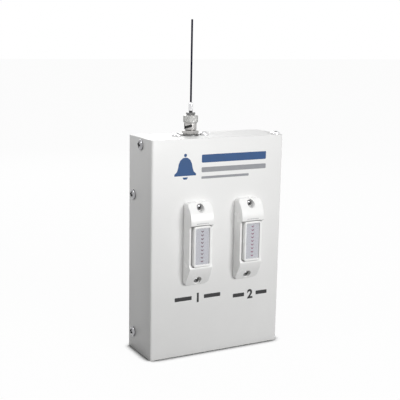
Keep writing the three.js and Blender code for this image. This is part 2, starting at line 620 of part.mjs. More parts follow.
// The nut that turns on the plug: a knurled grip over a sleeve with two bayonet slots
function couplingNut() {
  const bore = BARREL_RADIUS + FIT;
  const cavity = SLEEVE_RADIUS - FIT;
  const [rim, shoulder] = [0.4, 0.9];
  const outline = [
    [0, SLEEVE_BOTTOM],
    [SLEEVE_RADIUS - rim, SLEEVE_BOTTOM],
    [SLEEVE_RADIUS, SLEEVE_BOTTOM + rim],
    [SLEEVE_RADIUS, GRIP_BOTTOM - shoulder],
    [GRIP_RADIUS - rim, GRIP_BOTTOM],
    [GRIP_RADIUS + SEAT, GRIP_BOTTOM + rim],
    [GRIP_RADIUS + SEAT, GRIP_TOP - shoulder],
    [GRIP_RADIUS - shoulder, GRIP_TOP],
    [0, GRIP_TOP],
  ];
  const teeth = Array.from({ length: 2 * KNURL_TEETH }, (_, i) => {
    const angle = (Math.PI * i) / KNURL_TEETH;
    const radius = i % 2 ? GRIP_RADIUS - KNURL_DEPTH : GRIP_RADIUS;
    return new THREE.Vector2(radius * Math.cos(angle), radius * Math.sin(angle));
  });
  const height = GRIP_TOP - SLEEVE_BOTTOM + 2;
  const knurl = solid(extruded(new THREE.Shape(teeth), height).translate(0, 0, SLEEVE_BOTTOM - 1));
  let nut = turned(outline, 32).intersect(knurl);
  nut = nut.subtract(disc(bore, SLEEVE_BOTTOM - 1, BARREL_TOP));
  nut = nut.subtract(disc(cavity, BARREL_TOP - SEAT, CAVITY_TOP));
  nut = nut.subtract(disc(PLUG_NECK_RADIUS + FIT, CAVITY_TOP - SEAT, GRIP_TOP + 1));
  const slotWidth = 2 * (BAYONET_PIN_RADIUS + SLOT_CLEARANCE);
  const entryHeight = BAYONET_PIN_HEIGHT - UNLOCK_LIFT;
  for (const turn of [0, 180]) {
    const locked = BAYONET_ANGLE + turn;
    const open = locked - UNLOCK_TURN;
    nut = nut.subtract(rampSlot([open, locked], [entryHeight, BAYONET_PIN_HEIGHT], slotWidth));
    for (const [angle, centre] of [[locked, BAYONET_PIN_HEIGHT], [open, entryHeight]]) {
      const pocket = disc(half(slotWidth) + SEAT, SLEEVE_RADIUS - 2, SLEEVE_RADIUS + 1, 16);
      nut = nut.subtract(pocket.rotate([0, 90, 0]).rotate([0, 0, angle]).translate([0, 0, centre]));
    }
    const channel = [SLEEVE_RADIUS - 2, SLEEVE_RADIUS + 1, -half(slotWidth), half(slotWidth)];
    const entry = block(...channel, SLEEVE_BOTTOM - 1, entryHeight);
    nut = nut.subtract(entry.rotate([0, 0, open]));
  }
  return part('coupling_nut', nut, NICKEL);
}

function whipAntenna() {
  const glandTop = GLAND_BOTTOM + GLAND_HEIGHT;
  const glandHole = WHIP_RADIUS + FIT;
  const gland = hexNut(GLAND_ACROSS_FLATS, GLAND_BOTTOM, glandTop);
  const ferruleInner = FERRULE_RADIUS - FERRULE_WALL;
  const shoulder = FERRULE_TOP - 1.6;
  const profile = [
    [ferruleInner, FERRULE_BOTTOM],
    [FERRULE_RADIUS - 0.5, FERRULE_BOTTOM],
    [FERRULE_RADIUS - 0.5, FERRULE_BOTTOM + 1.2],
    [FERRULE_RADIUS, FERRULE_BOTTOM + 1.6],
    [FERRULE_RADIUS, shoulder],
    [ferruleInner + 0.2, FERRULE_TOP],
    [WHIP_RADIUS + FIT, FERRULE_TOP],
    [WHIP_RADIUS + FIT, shoulder],
    [ferruleInner, shoulder - 0.5],
    [ferruleInner, FERRULE_BOTTOM],
  ];
  const whipBottom = PIN_TOP + SEAT;
  const rod = [[0, whipBottom], [WHIP_RADIUS, whipBottom], [WHIP_RADIUS, WHIP_TOP - WHIP_RADIUS]];
  for (let i = 1; i < 4; i += 1) {
    const angle = radians(30 * i);
    const height = WHIP_TOP - WHIP_RADIUS * (1 - Math.sin(angle));
    rod.push([i === 3 ? 0 : WHIP_RADIUS * Math.cos(angle), height]);
  }
  return [
    part('gland_nut', gland.subtract(disc(glandHole, GLAND_BOTTOM - 1, glandTop + 1)), NICKEL),
    part('crimp_ferrule', turned(profile, 16), CHROME),
    part('whip_rod', turned(rod, 12), WHIP_NAVY),
  ];
}

function antenna() {
  const group = new THREE.Group();
  group.position.set(ANTENNA_X, 0, CABINET_HEIGHT);
  group.add(antennaPlate(), ...antennaJack(), ...jackFasteners());
  group.add(...antennaPlug(), couplingNut(), ...whipAntenna());
  return group;
}

// The housing seen from its side, in (y, z): sloped ends, a shoulder above the key and low rails beside it.
// The inset draws the hollow inside, which runs out through the back.
function housingSide(inset, back) {
  const end = half(UNIT_LENGTH) - inset;
  const edge = 1.2;
  const upper = KEY_Y + half(KEY_LENGTH) + KEY_GAP - inset;
  const lower = KEY_Y - half(KEY_LENGTH) - KEY_GAP + inset;
  const [shoulder, rail, foot] = [SHOULDER_DEPTH, RAIL_DEPTH, LOWER_SHOULDER_DEPTH].map((d) => d - inset);
  const [headEnd, footEnd] = [HEAD_END_DEPTH - inset, Math.max(FOOT_END_DEPTH - inset, back + 1)];
  const shape = new THREE.Shape();
  shape.moveTo(-end, back);
  shape.lineTo(end, back);
  shape.lineTo(end, headEnd - edge);
  shape.quadraticCurveTo(end, headEnd, end - edge, headEnd + half(edge));
  shape.quadraticCurveTo(end - 9, shoulder - 0.7, upper + 3.2, shoulder);
  shape.lineTo(upper + 0.4, shoulder);
  shape.quadraticCurveTo(upper - 0.4, shoulder, upper - 1, half(shoulder + rail));
  shape.quadraticCurveTo(upper - 1.8, rail, upper - 4, rail);
  shape.lineTo(lower + 4, rail);
  shape.quadraticCurveTo(lower + 1.6, rail, lower + 0.8, half(rail + foot));
  shape.quadraticCurveTo(lower, foot, lower - 1.6, foot);
  shape.quadraticCurveTo(lower - 9, foot - 2.3, edge - end, footEnd);
  shape.quadraticCurveTo(-end, footEnd - half(edge), -end, Math.max(footEnd - edge, back + 0.5));
  shape.closePath();
  return shape;
}

// Leans the sides of a geometry inwards as it rises
function drafted(geometry) {
  const positions = geometry.attributes.position;
  for (let i = 0; i < positions.count; i += 1) {
    const x = positions.getX(i);
    positions.setX(i, x - Math.sign(x) * UNIT_DRAFT * Math.max(positions.getZ(i), 0));
  }
  return geometry;
}

function extrudedAcross(shape, width, edge) {
  const bevel = { bevelEnabled: edge > 0, bevelThickness: edge, bevelSize: edge, bevelOffset: -edge };
  const length = width - 2 * edge;
  const geometry = extruded(shape, length, { ...bevel, bevelSegments: 2, curveSegments: 4 });
  return geometry.applyMatrix4(DRAWN_YZ).translate(-half(length), 0, 0);
}

const unitScrews = [
  { name: 'upper', y: UNIT_SCREW_Y, seat: HEAD_SCREW_SEAT },
  { name: 'lower', y: -UNIT_SCREW_Y, seat: FOOT_SCREW_SEAT },
];

function unitHousing() {
  const outline = roundedRectangle(UNIT_WIDTH, UNIT_LENGTH, UNIT_CORNER);
  const plan = solid(drafted(extruded(outline, SHOULDER_DEPTH + 2)));
  const foot = roundedBlock(UNIT_WIDTH, UNIT_LENGTH, UNIT_CORNER, 0, UNIT_EDGE + 0.2);
  let housing = solid(drafted(extrudedAcross(housingSide(0, 0), UNIT_WIDTH, UNIT_EDGE)));
  housing = housing.add(foot).intersect(plan);
  const hollowWidth = UNIT_WIDTH - 2 * HOUSING_SIDE_WALL;
  let hollow = solid(drafted(extrudedAcross(housingSide(HOUSING_WALL, -1), hollowWidth, 0)));
  const innerCorner = UNIT_CORNER - HOUSING_SIDE_WALL;
  const innerOutline = roundedRectangle(hollowWidth, UNIT_LENGTH - 2 * HOUSING_WALL, innerCorner);
  hollow = hollow.intersect(solid(extruded(innerOutline, SHOULDER_DEPTH + 2).translate(0, 0, -1)));
  const seat = [hollowWidth, UNIT_LENGTH - 2 * HOUSING_WALL, innerCorner, -1, BASE_THICKNESS + FIT];
  hollow = hollow.add(roundedBlock(...seat));
  for (const { y } of unitScrews)
    hollow = hollow.subtract(disc(BOSS_RADIUS, -2, SHOULDER_DEPTH).translate([0, y, 0]));
  housing = housing.subtract(hollow);
  const opening = [KEY_WIDTH + 2 * KEY_GAP, KEY_LENGTH + 2 * KEY_GAP, KEY_CORNER + KEY_GAP];
  const keyhole = roundedBlock(...opening, RAIL_DEPTH - HOUSING_WALL - 1, SHOULDER_DEPTH + 2);
  housing = housing.subtract(keyhole.translate([0, KEY_Y, 0]));
  for (const { y, seat } of unitScrews) {
    housing = housing.subtract(disc(RECESS_RADIUS, seat, SHOULDER_DEPTH + 2).translate([0, y, 0]));
    housing = housing.subtract(disc(UNIT_SCREW_RADIUS + FIT, -1, seat + 1, 16).translate([0, y, 0]));
  }
  return housing;
}

function unitBase() {
  const width = UNIT_WIDTH - 2 * (HOUSING_SIDE_WALL + FIT);
  const length = UNIT_LENGTH - 2 * (HOUSING_WALL + FIT);
  let base = roundedBlock(width, length, UNIT_CORNER - HOUSING_SIDE_WALL, 0, BASE_THICKNESS);
  for (const { y } of unitScrews) base = base.subtract(disc(BOSS_RADIUS + FIT, -1, 5).translate([0, y, 0]));
  return base.subtract(disc(LEAD_HOLE_RADIUS, -1, 5, 16).translate([0, LEAD_HOLE_Y, 0]));
}

// The key: a hollow cap with lips under the rails, a post over the switch and a pocket for its label
function unitKey() {
  const lipBottom = LIP_TOP - LIP_THICKNESS;
  const cap = { bevelEnabled: true, bevelThickness: KEY_EDGE, bevelSize: KEY_EDGE, bevelOffset: -KEY_EDGE };
  const height = KEY_DEPTH - lipBottom - 2 * KEY_EDGE;
  const outline = roundedRectangle(KEY_WIDTH, KEY_LENGTH, KEY_CORNER);
  const shell = extruded(outline, height, { ...cap, bevelSegments: 2 });
  let key = solid(shell.translate(0, 0, lipBottom + KEY_EDGE));
  key = key.add(roundedBlock(KEY_WIDTH + 2 * LIP_REACH, KEY_LENGTH, KEY_CORNER, lipBottom, LIP_TOP));
  const webBottom = POCKET_FLOOR - WEB_THICKNESS;
  const [width, length] = [KEY_WIDTH - 2 * KEY_WALL, KEY_LENGTH - 2 * KEY_WALL];
  key = key.subtract(roundedBlock(width, length, KEY_CORNER - KEY_WALL, lipBottom - 1, webBottom));
  key = key.add(disc(POST_RADIUS, PLUNGER_TOP + SEAT, webBottom + 0.5, 16));
  const pocket = [LABEL_WIDTH + 2 * FIT, LABEL_LENGTH + 2 * FIT, LENS_CORNER + FIT];
  return key.subtract(roundedBlock(...pocket, POCKET_FLOOR, KEY_DEPTH + 1));
}

function unitSwitch() {
  const bottom = BASE_THICKNESS + SEAT;
  const top = bottom + SWITCH_HEIGHT;
  const body = roundedBlock(SWITCH_SIZE, SWITCH_SIZE, 1, bottom, top);
  const bore = disc(PLUNGER_RADIUS + FIT, bottom + 0.5, top + 1, 16);
  const plunger = disc(PLUNGER_RADIUS, PLUNGER_TOP - PLUNGER_LENGTH, PLUNGER_TOP, 16);
  return { body: body.subtract(bore), plunger };
}

function pushButton(side, x) {
  const unit = new THREE.Group();
  unit.position.set(x, FRONT_Y - SEAT, UNIT_Z);
  unit.rotation.x = half(Math.PI);
  const key = new THREE.Group();
  key.position.y = KEY_Y;
  const labelSize = [LABEL_WIDTH, LABEL_LENGTH, LENS_CORNER];
  const label = roundedBlock(...labelSize, LABEL_BOTTOM, LABEL_BOTTOM + LABEL_THICKNESS);
  const { body, plunger } = unitSwitch();
  unit.add(part(`${side}_housing`, unitHousing(), WHITE_PLASTIC));
  unit.add(part(`${side}_base`, unitBase(), GREY_PLASTIC));
  key.add(part(`${side}_key`, unitKey(), WHITE_PLASTIC));
  key.add(part(`${side}_label`, label, LABEL_GREY));
  key.add(part(`${side}_lens`, roundedBlock(...labelSize, LENS_BOTTOM, LENS_TOP), CLEAR));
  key.add(part(`${side}_switch`, body, BLACK_PLASTIC));
  key.add(part(`${side}_plunger`, plunger, GREY_PLASTIC));
  unit.add(key);
  for (const { name, y, seat } of unitScrews) {
    const sizes = [UNIT_SCREW_HEAD_RADIUS, UNIT_SCREW_HEAD_HEIGHT, UNIT_SCREW_RADIUS, UNIT_SCREW_LENGTH];
    const screw = part(`${side}_housing_screw_${name}`, crossScrew(...sizes), CHROME);
    screw.position.set(0, y, seat + SEAT);
    unit.add(screw);
  }
  return unit;
}

function circuitBoard() {
  const [x, z] = [half(BOARD_WIDTH) - SUPPORT_INSET, half(BOARD_LENGTH) - SUPPORT_INSET];
  const [w, l] = [half(BOARD_WIDTH), half(BOARD_LENGTH)];
  let board = block(-w, w, BOARD_FRONT_Y, BOARD_BACK_Y, -l, l);
  const group = new THREE.Group();
  group.position.z = BOARD_Z;
  for (const [side, sideX] of [['left', -x], ['right', x]])
    for (const [level, levelZ] of [['lower', -z], ['upper', z]]) {
      const hole = SUPPORT_PIN_RADIUS + FIT;
      board = board.subtract(drillY(hole, BOARD_FRONT_Y - 1, BOARD_BACK_Y + 1, sideX, levelZ));
      const post = [
        [0, 0],
        [SUPPORT_FOOT_RADIUS, 0],
        [SUPPORT_FOOT_RADIUS, SUPPORT_FOOT_THICKNESS],
        [SUPPORT_RADIUS, SUPPORT_FOOT_THICKNESS],
        [SUPPORT_RADIUS, SUPPORT_LENGTH],
        [SUPPORT_PIN_RADIUS, SUPPORT_LENGTH],
        [SUPPORT_PIN_RADIUS, SUPPORT_LENGTH + BOARD_THICKNESS + 1],
        [0, SUPPORT_LENGTH + BOARD_THICKNESS + 2],
      ];
      const support = part(`board_support_${side}_${level}`, turned(post, HOLE_FACETS), WHITE_PTFE);
      support.rotation.x = half(Math.PI);
      support.position.set(sideX, BACK_INNER_Y - SEAT, levelZ);
      group.add(support);
    }
  group.add(part('circuit_board', board, BOARD_GREEN));
  return group;
}

function boardParts() {
  const face = BOARD_FRONT_Y - SEAT;
  const shieldX = -half(BOARD_WIDTH) + 24;
  const shieldZ = BOARD_Z + 13;
  const [w, l] = [half(SHIELD_WIDTH), half(SHIELD_LENGTH)];
  const can = block(shieldX - w, shieldX + w, face - SHIELD_HEIGHT, face, shieldZ - l, shieldZ + l);
  const [iw, il] = [w - SHIELD_WALL, l - SHIELD_WALL];
  const roof = face - SHIELD_HEIGHT + SHIELD_WALL;
  const hollow = block(shieldX - iw, shieldX + iw, roof, face + 1, shieldZ - il, shieldZ + il);
  const c = half(CHIP_SIZE);
  const chip = block(16 - c, 16 + c, face - CHIP_HEIGHT, face, BOARD_Z + 8 - c, BOARD_Z + 8 + c);
  const width = TERMINAL_PITCH * TERMINAL_WAYS;
  const top = TERMINAL_BOTTOM_Z + TERMINAL_LENGTH;
  let terminals = block(-half(width), half(width), face - TERMINAL_HEIGHT, face, TERMINAL_BOTTOM_Z, top);
  for (let i = 0; i < TERMINAL_WAYS; i += 1) {
    const x = TERMINAL_PITCH * (i + 0.5) - half(width);
    const entryY = face - half(TERMINAL_HEIGHT);
    const entry = disc(TERMINAL_HOLE, -1, 4, TERMINAL_FACETS).translate([x, entryY, TERMINAL_BOTTOM_Z]);
    const middle = TERMINAL_BOTTOM_Z + half(TERMINAL_LENGTH) + 1;
    const screwHole = disc(TERMINAL_HOLE, -1, 2, TERMINAL_FACETS).rotate([-90, 0, 0]);
    terminals = terminals.subtract(entry);
    terminals = terminals.subtract(screwHole.translate([x, face - TERMINAL_HEIGHT, middle]));
  }
  return [
    part('rf_shield', can.subtract(hollow), ZINC),
    part('controller_chip', chip, BLACK_PLASTIC),
    part('terminal_block', terminals, GREEN_PLASTIC),
  ];
}

const batteryMiddleY = BATTERY_BACK_Y - half(BATTERY_DEPTH);
const batteryTabYs = [-1, 1].map((side) => batteryMiddleY + side * half(BATTERY_TAB_SPACING));

function batteryParts() {
  const outline = roundedRectangle(BATTERY_WIDTH, BATTERY_DEPTH, BATTERY_CORNER);
  const bevel = { bevelEnabled: true, bevelThickness: BATTERY_EDGE, bevelSize: BATTERY_EDGE };
  const settings = { ...bevel, bevelOffset: -BATTERY_EDGE, bevelSegments: 2 };
  const shell = extruded(outline, BATTERY_HEIGHT - 2 * BATTERY_EDGE, settings);
  let battery = solid(shell.translate(0, batteryMiddleY, SHEET + SEAT + BATTERY_EDGE));
  const [w, t] = [half(BATTERY_TAB_WIDTH), half(BATTERY_TAB_THICKNESS)];
  const tabTop = BATTERY_TOP_Z + BATTERY_TAB_HEIGHT;
  for (const y of batteryTabYs) {
    const x = -BATTERY_TAB_X;
    battery = battery.add(block(x - w, x + w, y - t, y + t, BATTERY_TOP_Z - 1, tabTop));
  }
  const strapBottom = BATTERY_TOP_Z + SEAT;
  const strapFront = BATTERY_FRONT_Y - SEAT;
  const corners = [
    [strapFront, strapBottom - BRACKET_LIP],
    [strapFront, strapBottom],
    [BATTERY_BACK_Y, strapBottom],
    [BATTERY_BACK_Y, strapBottom + BRACKET_RISE],
  ];
  const strap = extruded(foldedSheet(corners, SHEET, BEND), BRACKET_WIDTH).applyMatrix4(DRAWN_YZ);
  const screwZ = BATTERY_TOP_Z + BRACKET_SCREW_RISE;
  const hole = drillY(BRACKET_SCREW_RADIUS + FIT, BATTERY_BACK_Y - SHEET - 1, BATTERY_BACK_Y + 1, 0, screwZ);
  const bracket = solid(strap.translate(-half(BRACKET_WIDTH), 0, 0)).subtract(hole);
  const sizes = [UNIT_SCREW_HEAD_RADIUS, UNIT_SCREW_HEAD_HEIGHT, BRACKET_SCREW_RADIUS, 2 * SHEET + SEAT];
  const screw = part('bracket_screw', crossScrew(...sizes), ZINC);
  screw.rotation.x = half(Math.PI);
  screw.position.set(0, BATTERY_BACK_Y - SHEET - SEAT, screwZ);
  return [part('battery', battery, BLACK_PLASTIC), part('battery_bracket', bracket, ZINC), screw];
}

// A round lead through the given points
function lead(name, points, radius, material) {
  const path = new THREE.CatmullRomCurve3(points.map((point) => new THREE.Vector3(...point)));
  const section = new THREE.Shape().absarc(0, 0, radius, 0, 2 * Math.PI, false);
  const steps = Math.ceil(path.getLength() / (5 * radius));
  const settings = { steps, extrudePath: path, bevelEnabled: false, curveSegments: 4 };
  return part(name, solid(new THREE.ExtrudeGeometry(section, settings)), material);
}

function leads() {
  const contactEnd = CABINET_HEIGHT + CONTACT_BOTTOM - FIT;
  const boardFace = BOARD_FRONT_Y - FIT;
  const coax = [
    [ANTENNA_X, 0, contactEnd],
    [ANTENNA_X, 0, contactEnd - 4],
    [ANTENNA_X + 2, half(boardFace) - 1, contactEnd - 9],
    [ANTENNA_X + 4, boardFace - 3, contactEnd - 10],
    [ANTENNA_X + 4, boardFace, contactEnd - 10],
  ];
  const terminalY = BOARD_FRONT_Y - SEAT - half(TERMINAL_HEIGHT);
  const terminalX = (way) => TERMINAL_PITCH * (way - half(TERMINAL_WAYS) + 0.5);
  const terminalZ = TERMINAL_BOTTOM_Z - FIT;
  const holeZ = UNIT_Z + LEAD_HOLE_Y;
  const buttonLead = (x, way) => [
    [x, FRONT_Y - SEAT - BASE_THICKNESS, holeZ],
    [x, FRONT_Y + 8, holeZ],
    [THREE.MathUtils.lerp(x, terminalX(way), 0.5), -4, holeZ - 3],
    [terminalX(way), terminalY, terminalZ - 8],
    [terminalX(way), terminalY, terminalZ],
  ];
  const tabZ = BATTERY_TOP_Z + BATTERY_TAB_HEIGHT + FIT;
  const batteryLead = (y, way) => [
    [-BATTERY_TAB_X, y, tabZ],
    [-BATTERY_TAB_X, y, tabZ + 8],
    [THREE.MathUtils.lerp(-BATTERY_TAB_X, terminalX(way), 0.5), half(y + terminalY), tabZ + 26],
    [terminalX(way), terminalY, terminalZ - 8],
    [terminalX(way), terminalY, terminalZ],
  ];
  return [
    lead('antenna_coax', coax, COAX_RADIUS, BLACK_PLASTIC),
    lead('left_button_lead', buttonLead(UNIT_X[0], 2), LEAD_RADIUS, GREY_PVC),
    lead('right_button_lead', buttonLead(UNIT_X[1], 4), LEAD_RADIUS, GREY_PVC),
    lead('battery_lead_negative', batteryLead(batteryTabYs[0], 0), LEAD_RADIUS, BLACK_PLASTIC),
    lead('battery_lead_positive', batteryLead(batteryTabYs[1], 1), LEAD_RADIUS, RED_PVC),
  ];
}

const transmitter = new THREE.Group();
transmitter.add(frontCover(), rearChassis(), cabinetScrews(), antenna());
transmitter.add(pushButton('left', UNIT_X[0]), pushButton('right', UNIT_X[1]));
transmitter.add(circuitBoard(), ...boardParts(), ...batteryParts(), ...leads());

export default transmitter;
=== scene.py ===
"""The looks of a panic button transmitter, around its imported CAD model.

Sizes are in millimetres and repeat those of the CAD source, until finished() scales a mesh to metres.
Push button units are drawn in their own frame: x to the right, y up, z away from the cabinet's front.
"""

import json
import math

import bpy
from mathutils import Matrix, Vector


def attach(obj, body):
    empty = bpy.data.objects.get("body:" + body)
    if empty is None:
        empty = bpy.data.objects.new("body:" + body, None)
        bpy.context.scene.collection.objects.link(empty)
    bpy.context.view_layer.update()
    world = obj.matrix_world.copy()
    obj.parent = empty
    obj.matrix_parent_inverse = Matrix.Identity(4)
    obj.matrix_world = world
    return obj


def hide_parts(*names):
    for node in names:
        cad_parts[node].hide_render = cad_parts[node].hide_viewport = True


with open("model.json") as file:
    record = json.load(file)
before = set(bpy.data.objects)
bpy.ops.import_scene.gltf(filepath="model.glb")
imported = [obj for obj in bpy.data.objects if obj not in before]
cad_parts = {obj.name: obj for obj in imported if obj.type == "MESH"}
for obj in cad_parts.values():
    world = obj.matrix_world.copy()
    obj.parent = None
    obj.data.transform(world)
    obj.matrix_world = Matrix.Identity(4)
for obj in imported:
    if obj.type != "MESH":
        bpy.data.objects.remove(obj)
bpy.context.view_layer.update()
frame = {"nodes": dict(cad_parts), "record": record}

# Cabinet
WIDTH, DEPTH, HEIGHT = 148.0, 52.0, 220.0
SHEET, BEND = 1.2, 2.2
FRONT = -DEPTH / 2
PRINT = 0.04  # thickness of the printed marks
SIDE_SCREWS = {"upper": (213.4, -2.0), "middle": (161.5, 15.5), "lower": (18.6, 14.5)}
TOP_SCREWS = {"left": (-34.8, 0.0), "right": (-4.2, 0.0), "corner": (68.8, -19.2)}
SCREW_SIZES = (5.1, 2.84, 2.3, 7.0)
SEAT = 0.1

# Rounding of the edges of the kept CAD solids, in metres and degrees
WELD_GAP, ROUNDING, ROUNDED_ANGLE = 0.00001, 0.00012, 38.0

# Antenna connector, with heights above the cabinet's top
ANTENNA = (-19.5, 0.0, HEIGHT)
BAYONET_ANGLE, UNLOCK_TURN, UNLOCK_LIFT, PIN_HEIGHT = 245.0, 75.0, 2.4, 10.0
SLOT = 2.7
SLEEVE = (5.9, 12.9, 6.2)
GRIP = (12.9, 20.2, 7.4)
KNURL_TEETH = 40
THREAD = 6.65
JACK_NUT, GLAND_NUT = (14.6, THREAD, 1.7, 5.0), (8.0, 1.05, 20.6, 23.0)
CRIMP_ACROSS, CRIMP_HEIGHTS = 4.25, (26.0, 29.8)
NECK_TOP = 24.3

# Push button units
UNIT_X = {"left": -25.5, "right": 31.9}
UNIT_Z = 116.0
UNIT_WIDTH, UNIT_LENGTH, UNIT_CORNER, DRAFT = 27.0, 84.0, 4.0, 0.06
SHOULDER, RAIL, FOOT, HEAD_END, FOOT_END = 15.0, 11.5, 12.9, 6.2, 3.4
KEY_SIZE, KEY_Y, KEY_TOP, KEY_GAP = (19.4, 40.8, 2.4), -0.5, 15.5, 0.8
LABEL_SIZE = (14.8, 36.0, 0.8)
POCKET_FLOOR, LABEL_TOP, LENS = 14.1, 14.4, (14.5, 15.1)
UNIT_SCREWS = {"upper": (37.0, 4.6), "lower": (-37.0, 2.4)}
UNIT_SCREW_SIZES = (3.0, 2.0, 1.6, 12.0)
RECESS, BOSS, SCREW_HOLE = 4.0, 5.3, 1.9
ROOF, WALL = 1.9, 1.4
VOXEL, SMOOTHING, KEPT_SHARE = 0.28, 3, 0.22
CHEVRONS, CHEVRON_TOP, CHEVRON_PITCH = 9, 15.0, 3.75
MARK = 0.03  # thickness of the marks on the label

# Printing on the front
BELL = (-38, 184, 18)
BARS = (-20, 54)
CAPTIONS = (("left", "1", -47.6, 4.4, 59.5), ("right", "2", 19.3, 60.4, 55.5))
DIGIT_SIZE, DIGIT_ROOM, DIGIT_DROP = 13, 7, 4.8

# Studio, in metres, watts and degrees
FLOOR_REACH = 8
WORLD_LIGHT = 0.28
LAMPS = (  # name, place, target, size and power
    ("key", (0.4, -1.5, 0.6), (0, 0, 0.13), (0.8, 0.7), 18),
    ("left_fill", (-0.4, -0.06, 0.5), (-0.07, 0, 0.2), (0.15, 0.15), 0.6),
    ("top", (0.1, 0.1, 1.3), (0, 0, 0.2), (0.8, 0.8), 2.0),
    ("back", (0.3, 1.2, 0.7), (0, 0, 0.12), (0.6, 0.6), 5),
)
CAMERA_ANGLES = (-28.425, 11.02, 1.094)  # azimuth, elevation and roll
CAMERA_TARGET, CAMERA_DISTANCE = (-0.00709, 0, 0.15325), 0.89055
SENSOR_WIDTH, FOCAL_LENGTH = 36, 78.657


# Materials


def surface(name, color, roughness, metallic=0.0, mottle=0.03, patch=60.0, grain=0.1,
            grit=1500.0, spread=0.05, stretch=(1.0, 1.0, 1.0), alpha=1.0, sockets=()):
    """A material whose colour and gloss vary in soft patches and whose surface has a fine grain."""
    made = bpy.data.materials.new(name)
    made.use_nodes = True
    tree = made.node_tree
    shader = tree.nodes["Principled BSDF"]
    shader.inputs["Metallic"].default_value = metallic
    shader.inputs["Alpha"].default_value = alpha
    for socket, value in sockets:
        shader.inputs[socket].default_value = value
    place = tree.nodes.new("ShaderNodeTexCoord")
    mapping = tree.nodes.new("ShaderNodeMapping")
    mapping.inputs["Scale"].default_value = stretch
    tree.links.new(place.outputs["Object"], mapping.inputs["Vector"])
    patches = tree.nodes.new("ShaderNodeTexNoise")
    patches.inputs["Scale"].default_value = patch
    patches.inputs["Detail"].default_value = 4.0
    tree.links.new(mapping.outputs["Vector"], patches.inputs["Vector"])
    ramp = tree.nodes.new("ShaderNodeValToRGB")
    factors = (1 - mottle, 1 + mottle)
    for element, position, factor in zip(ramp.color_ramp.elements, (0.3, 0.7), factors):
        element.position = position
        element.color = [min(1.0, c * factor) for c in color] + [1.0]
    tree.links.new(patches.outputs["Fac"], ramp.inputs["Fac"])
    tree.links.new(ramp.outputs["Color"], shader.inputs["Base Color"])
    gloss = tree.nodes.new("ShaderNodeMapRange")
    gloss.inputs["From Min"].default_value = 0.3
    gloss.inputs["From Max"].default_value = 0.7
    gloss.inputs["To Min"].default_value = max(0.02, roughness - spread)
    gloss.inputs["To Max"].default_value = roughness + spread
    tree.links.new(patches.outputs["Fac"], gloss.inputs["Value"])
    tree.links.new(gloss.outputs["Result"], shader.inputs["Roughness"])
    grains = tree.nodes.new("ShaderNodeTexNoise")
    grains.inputs["Scale"].default_value = grit
    grains.inputs["Detail"].default_value = 3.0
    tree.links.new(mapping.outputs["Vector"], grains.inputs["Vector"])
    bump = tree.nodes.new("ShaderNodeBump")
    bump.inputs["Strength"].default_value = grain
    bump.inputs["Distance"].default_value = 0.0001
    tree.links.new(grains.outputs["Fac"], bump.inputs["Height"])
    tree.links.new(bump.outputs["Normal"], shader.inputs["Normal"])
    return made


def linear(red, green, blue):
    """An sRGB colour of 0 to 255 as linear light."""
    shares = [value / 255 for value in (red, green, blue)]
    return [c / 12.92 if c <= 0.04045 else ((c + 0.055) / 1.055) ** 2.4 for c in shares]


def board_material():
    """Green solder mask over a web of copper tracks."""
    made = surface("board_laminate", linear(28, 92, 52), 0.35, patch=200, grit=900)
    tree = made.node_tree
    shader = tree.nodes["Principled BSDF"]
    ramp = shader.inputs["Base Color"].links[0].from_node
    tracks = tree.nodes.new("ShaderNodeTexVoronoi")
    tracks.distance = "MANHATTAN"
    tracks.feature = "DISTANCE_TO_EDGE"
    tracks.inputs["Scale"].default_value = 140.0
    edge = tree.nodes.new("ShaderNodeMath")
    edge.operation = "LESS_THAN"
    edge.inputs[1].default_value = 0.05
    mix = tree.nodes.new("ShaderNodeMix")
    mix.data_type = "RGBA"
    mix.inputs["B"].default_value = linear(70, 142, 76) + [1.0]
    place = next(entry for entry in tree.nodes if entry.type == "TEX_COORD")
    tree.links.new(place.outputs["Object"], tracks.inputs["Vector"])
    tree.links.new(tracks.outputs["Distance"], edge.inputs[0])
    tree.links.new(edge.outputs["Value"], mix.inputs["Factor"])
    tree.links.new(ramp.outputs["Color"], mix.inputs["A"])
    tree.links.new(mix.outputs["Result"], shader.inputs["Base Color"])
    return made


LENGTHWISE = (1.0, 1.0, 0.05)
PAINT = surface("cabinet_paint", linear(233, 233, 232), 0.42, mottle=0.012, patch=30,
                grain=0.35, grit=700)
PLASTIC = surface("white_plastic", linear(246, 246, 245), 0.24, mottle=0.01, patch=80,
                  grain=0.05, grit=900)
CHROME = surface("screw_chrome", (0.34, 0.34, 0.35), 0.14, 1.0, mottle=0.08, patch=500,
                 grain=0.12, grit=2500)
NICKEL = surface("nickel_plate", (0.5, 0.49, 0.48), 0.26, 1.0, mottle=0.12, patch=400,
                 grain=0.2, grit=2200)
# A lighter copy of the screw chrome: on the top screws it is painted light, for heads that face up; on the
# crimp tube it is that part's own bright plating.
BRIGHT_CHROME_AND_PAINTED_LIGHT = surface("bright_chrome_and_painted_light", (0.74, 0.74, 0.75), 0.2, 1.0, mottle=0.05, patch=500,
                 grain=0.12, grit=2500)
ROUGH_NICKEL = surface("knurled_nickel", (0.42, 0.42, 0.41), 0.45, 1.0, mottle=0.15, patch=500,
                       grain=0.3)
# A darkened copy of the nickel plating, as painted shade: on the jack washer, the gland nut and the lower
# screws of the push button units.
SHADOWED_NICKEL = surface("nickel_in_painted_shadow", (0.2, 0.2, 0.2), 0.22, 1.0, mottle=0.25, patch=400, grain=0.2)
# Near-black painted shade, laid on faces where shade falls: the screws' cross recesses, the bayonet
# sleeve's bore and slots, the jack barrel seen through them and the crimp tube's foot.
PAINTED_SHADE = surface("painted_shade", (0.012, 0.012, 0.013), 0.6, mottle=0.3, patch=600, grain=0.3)
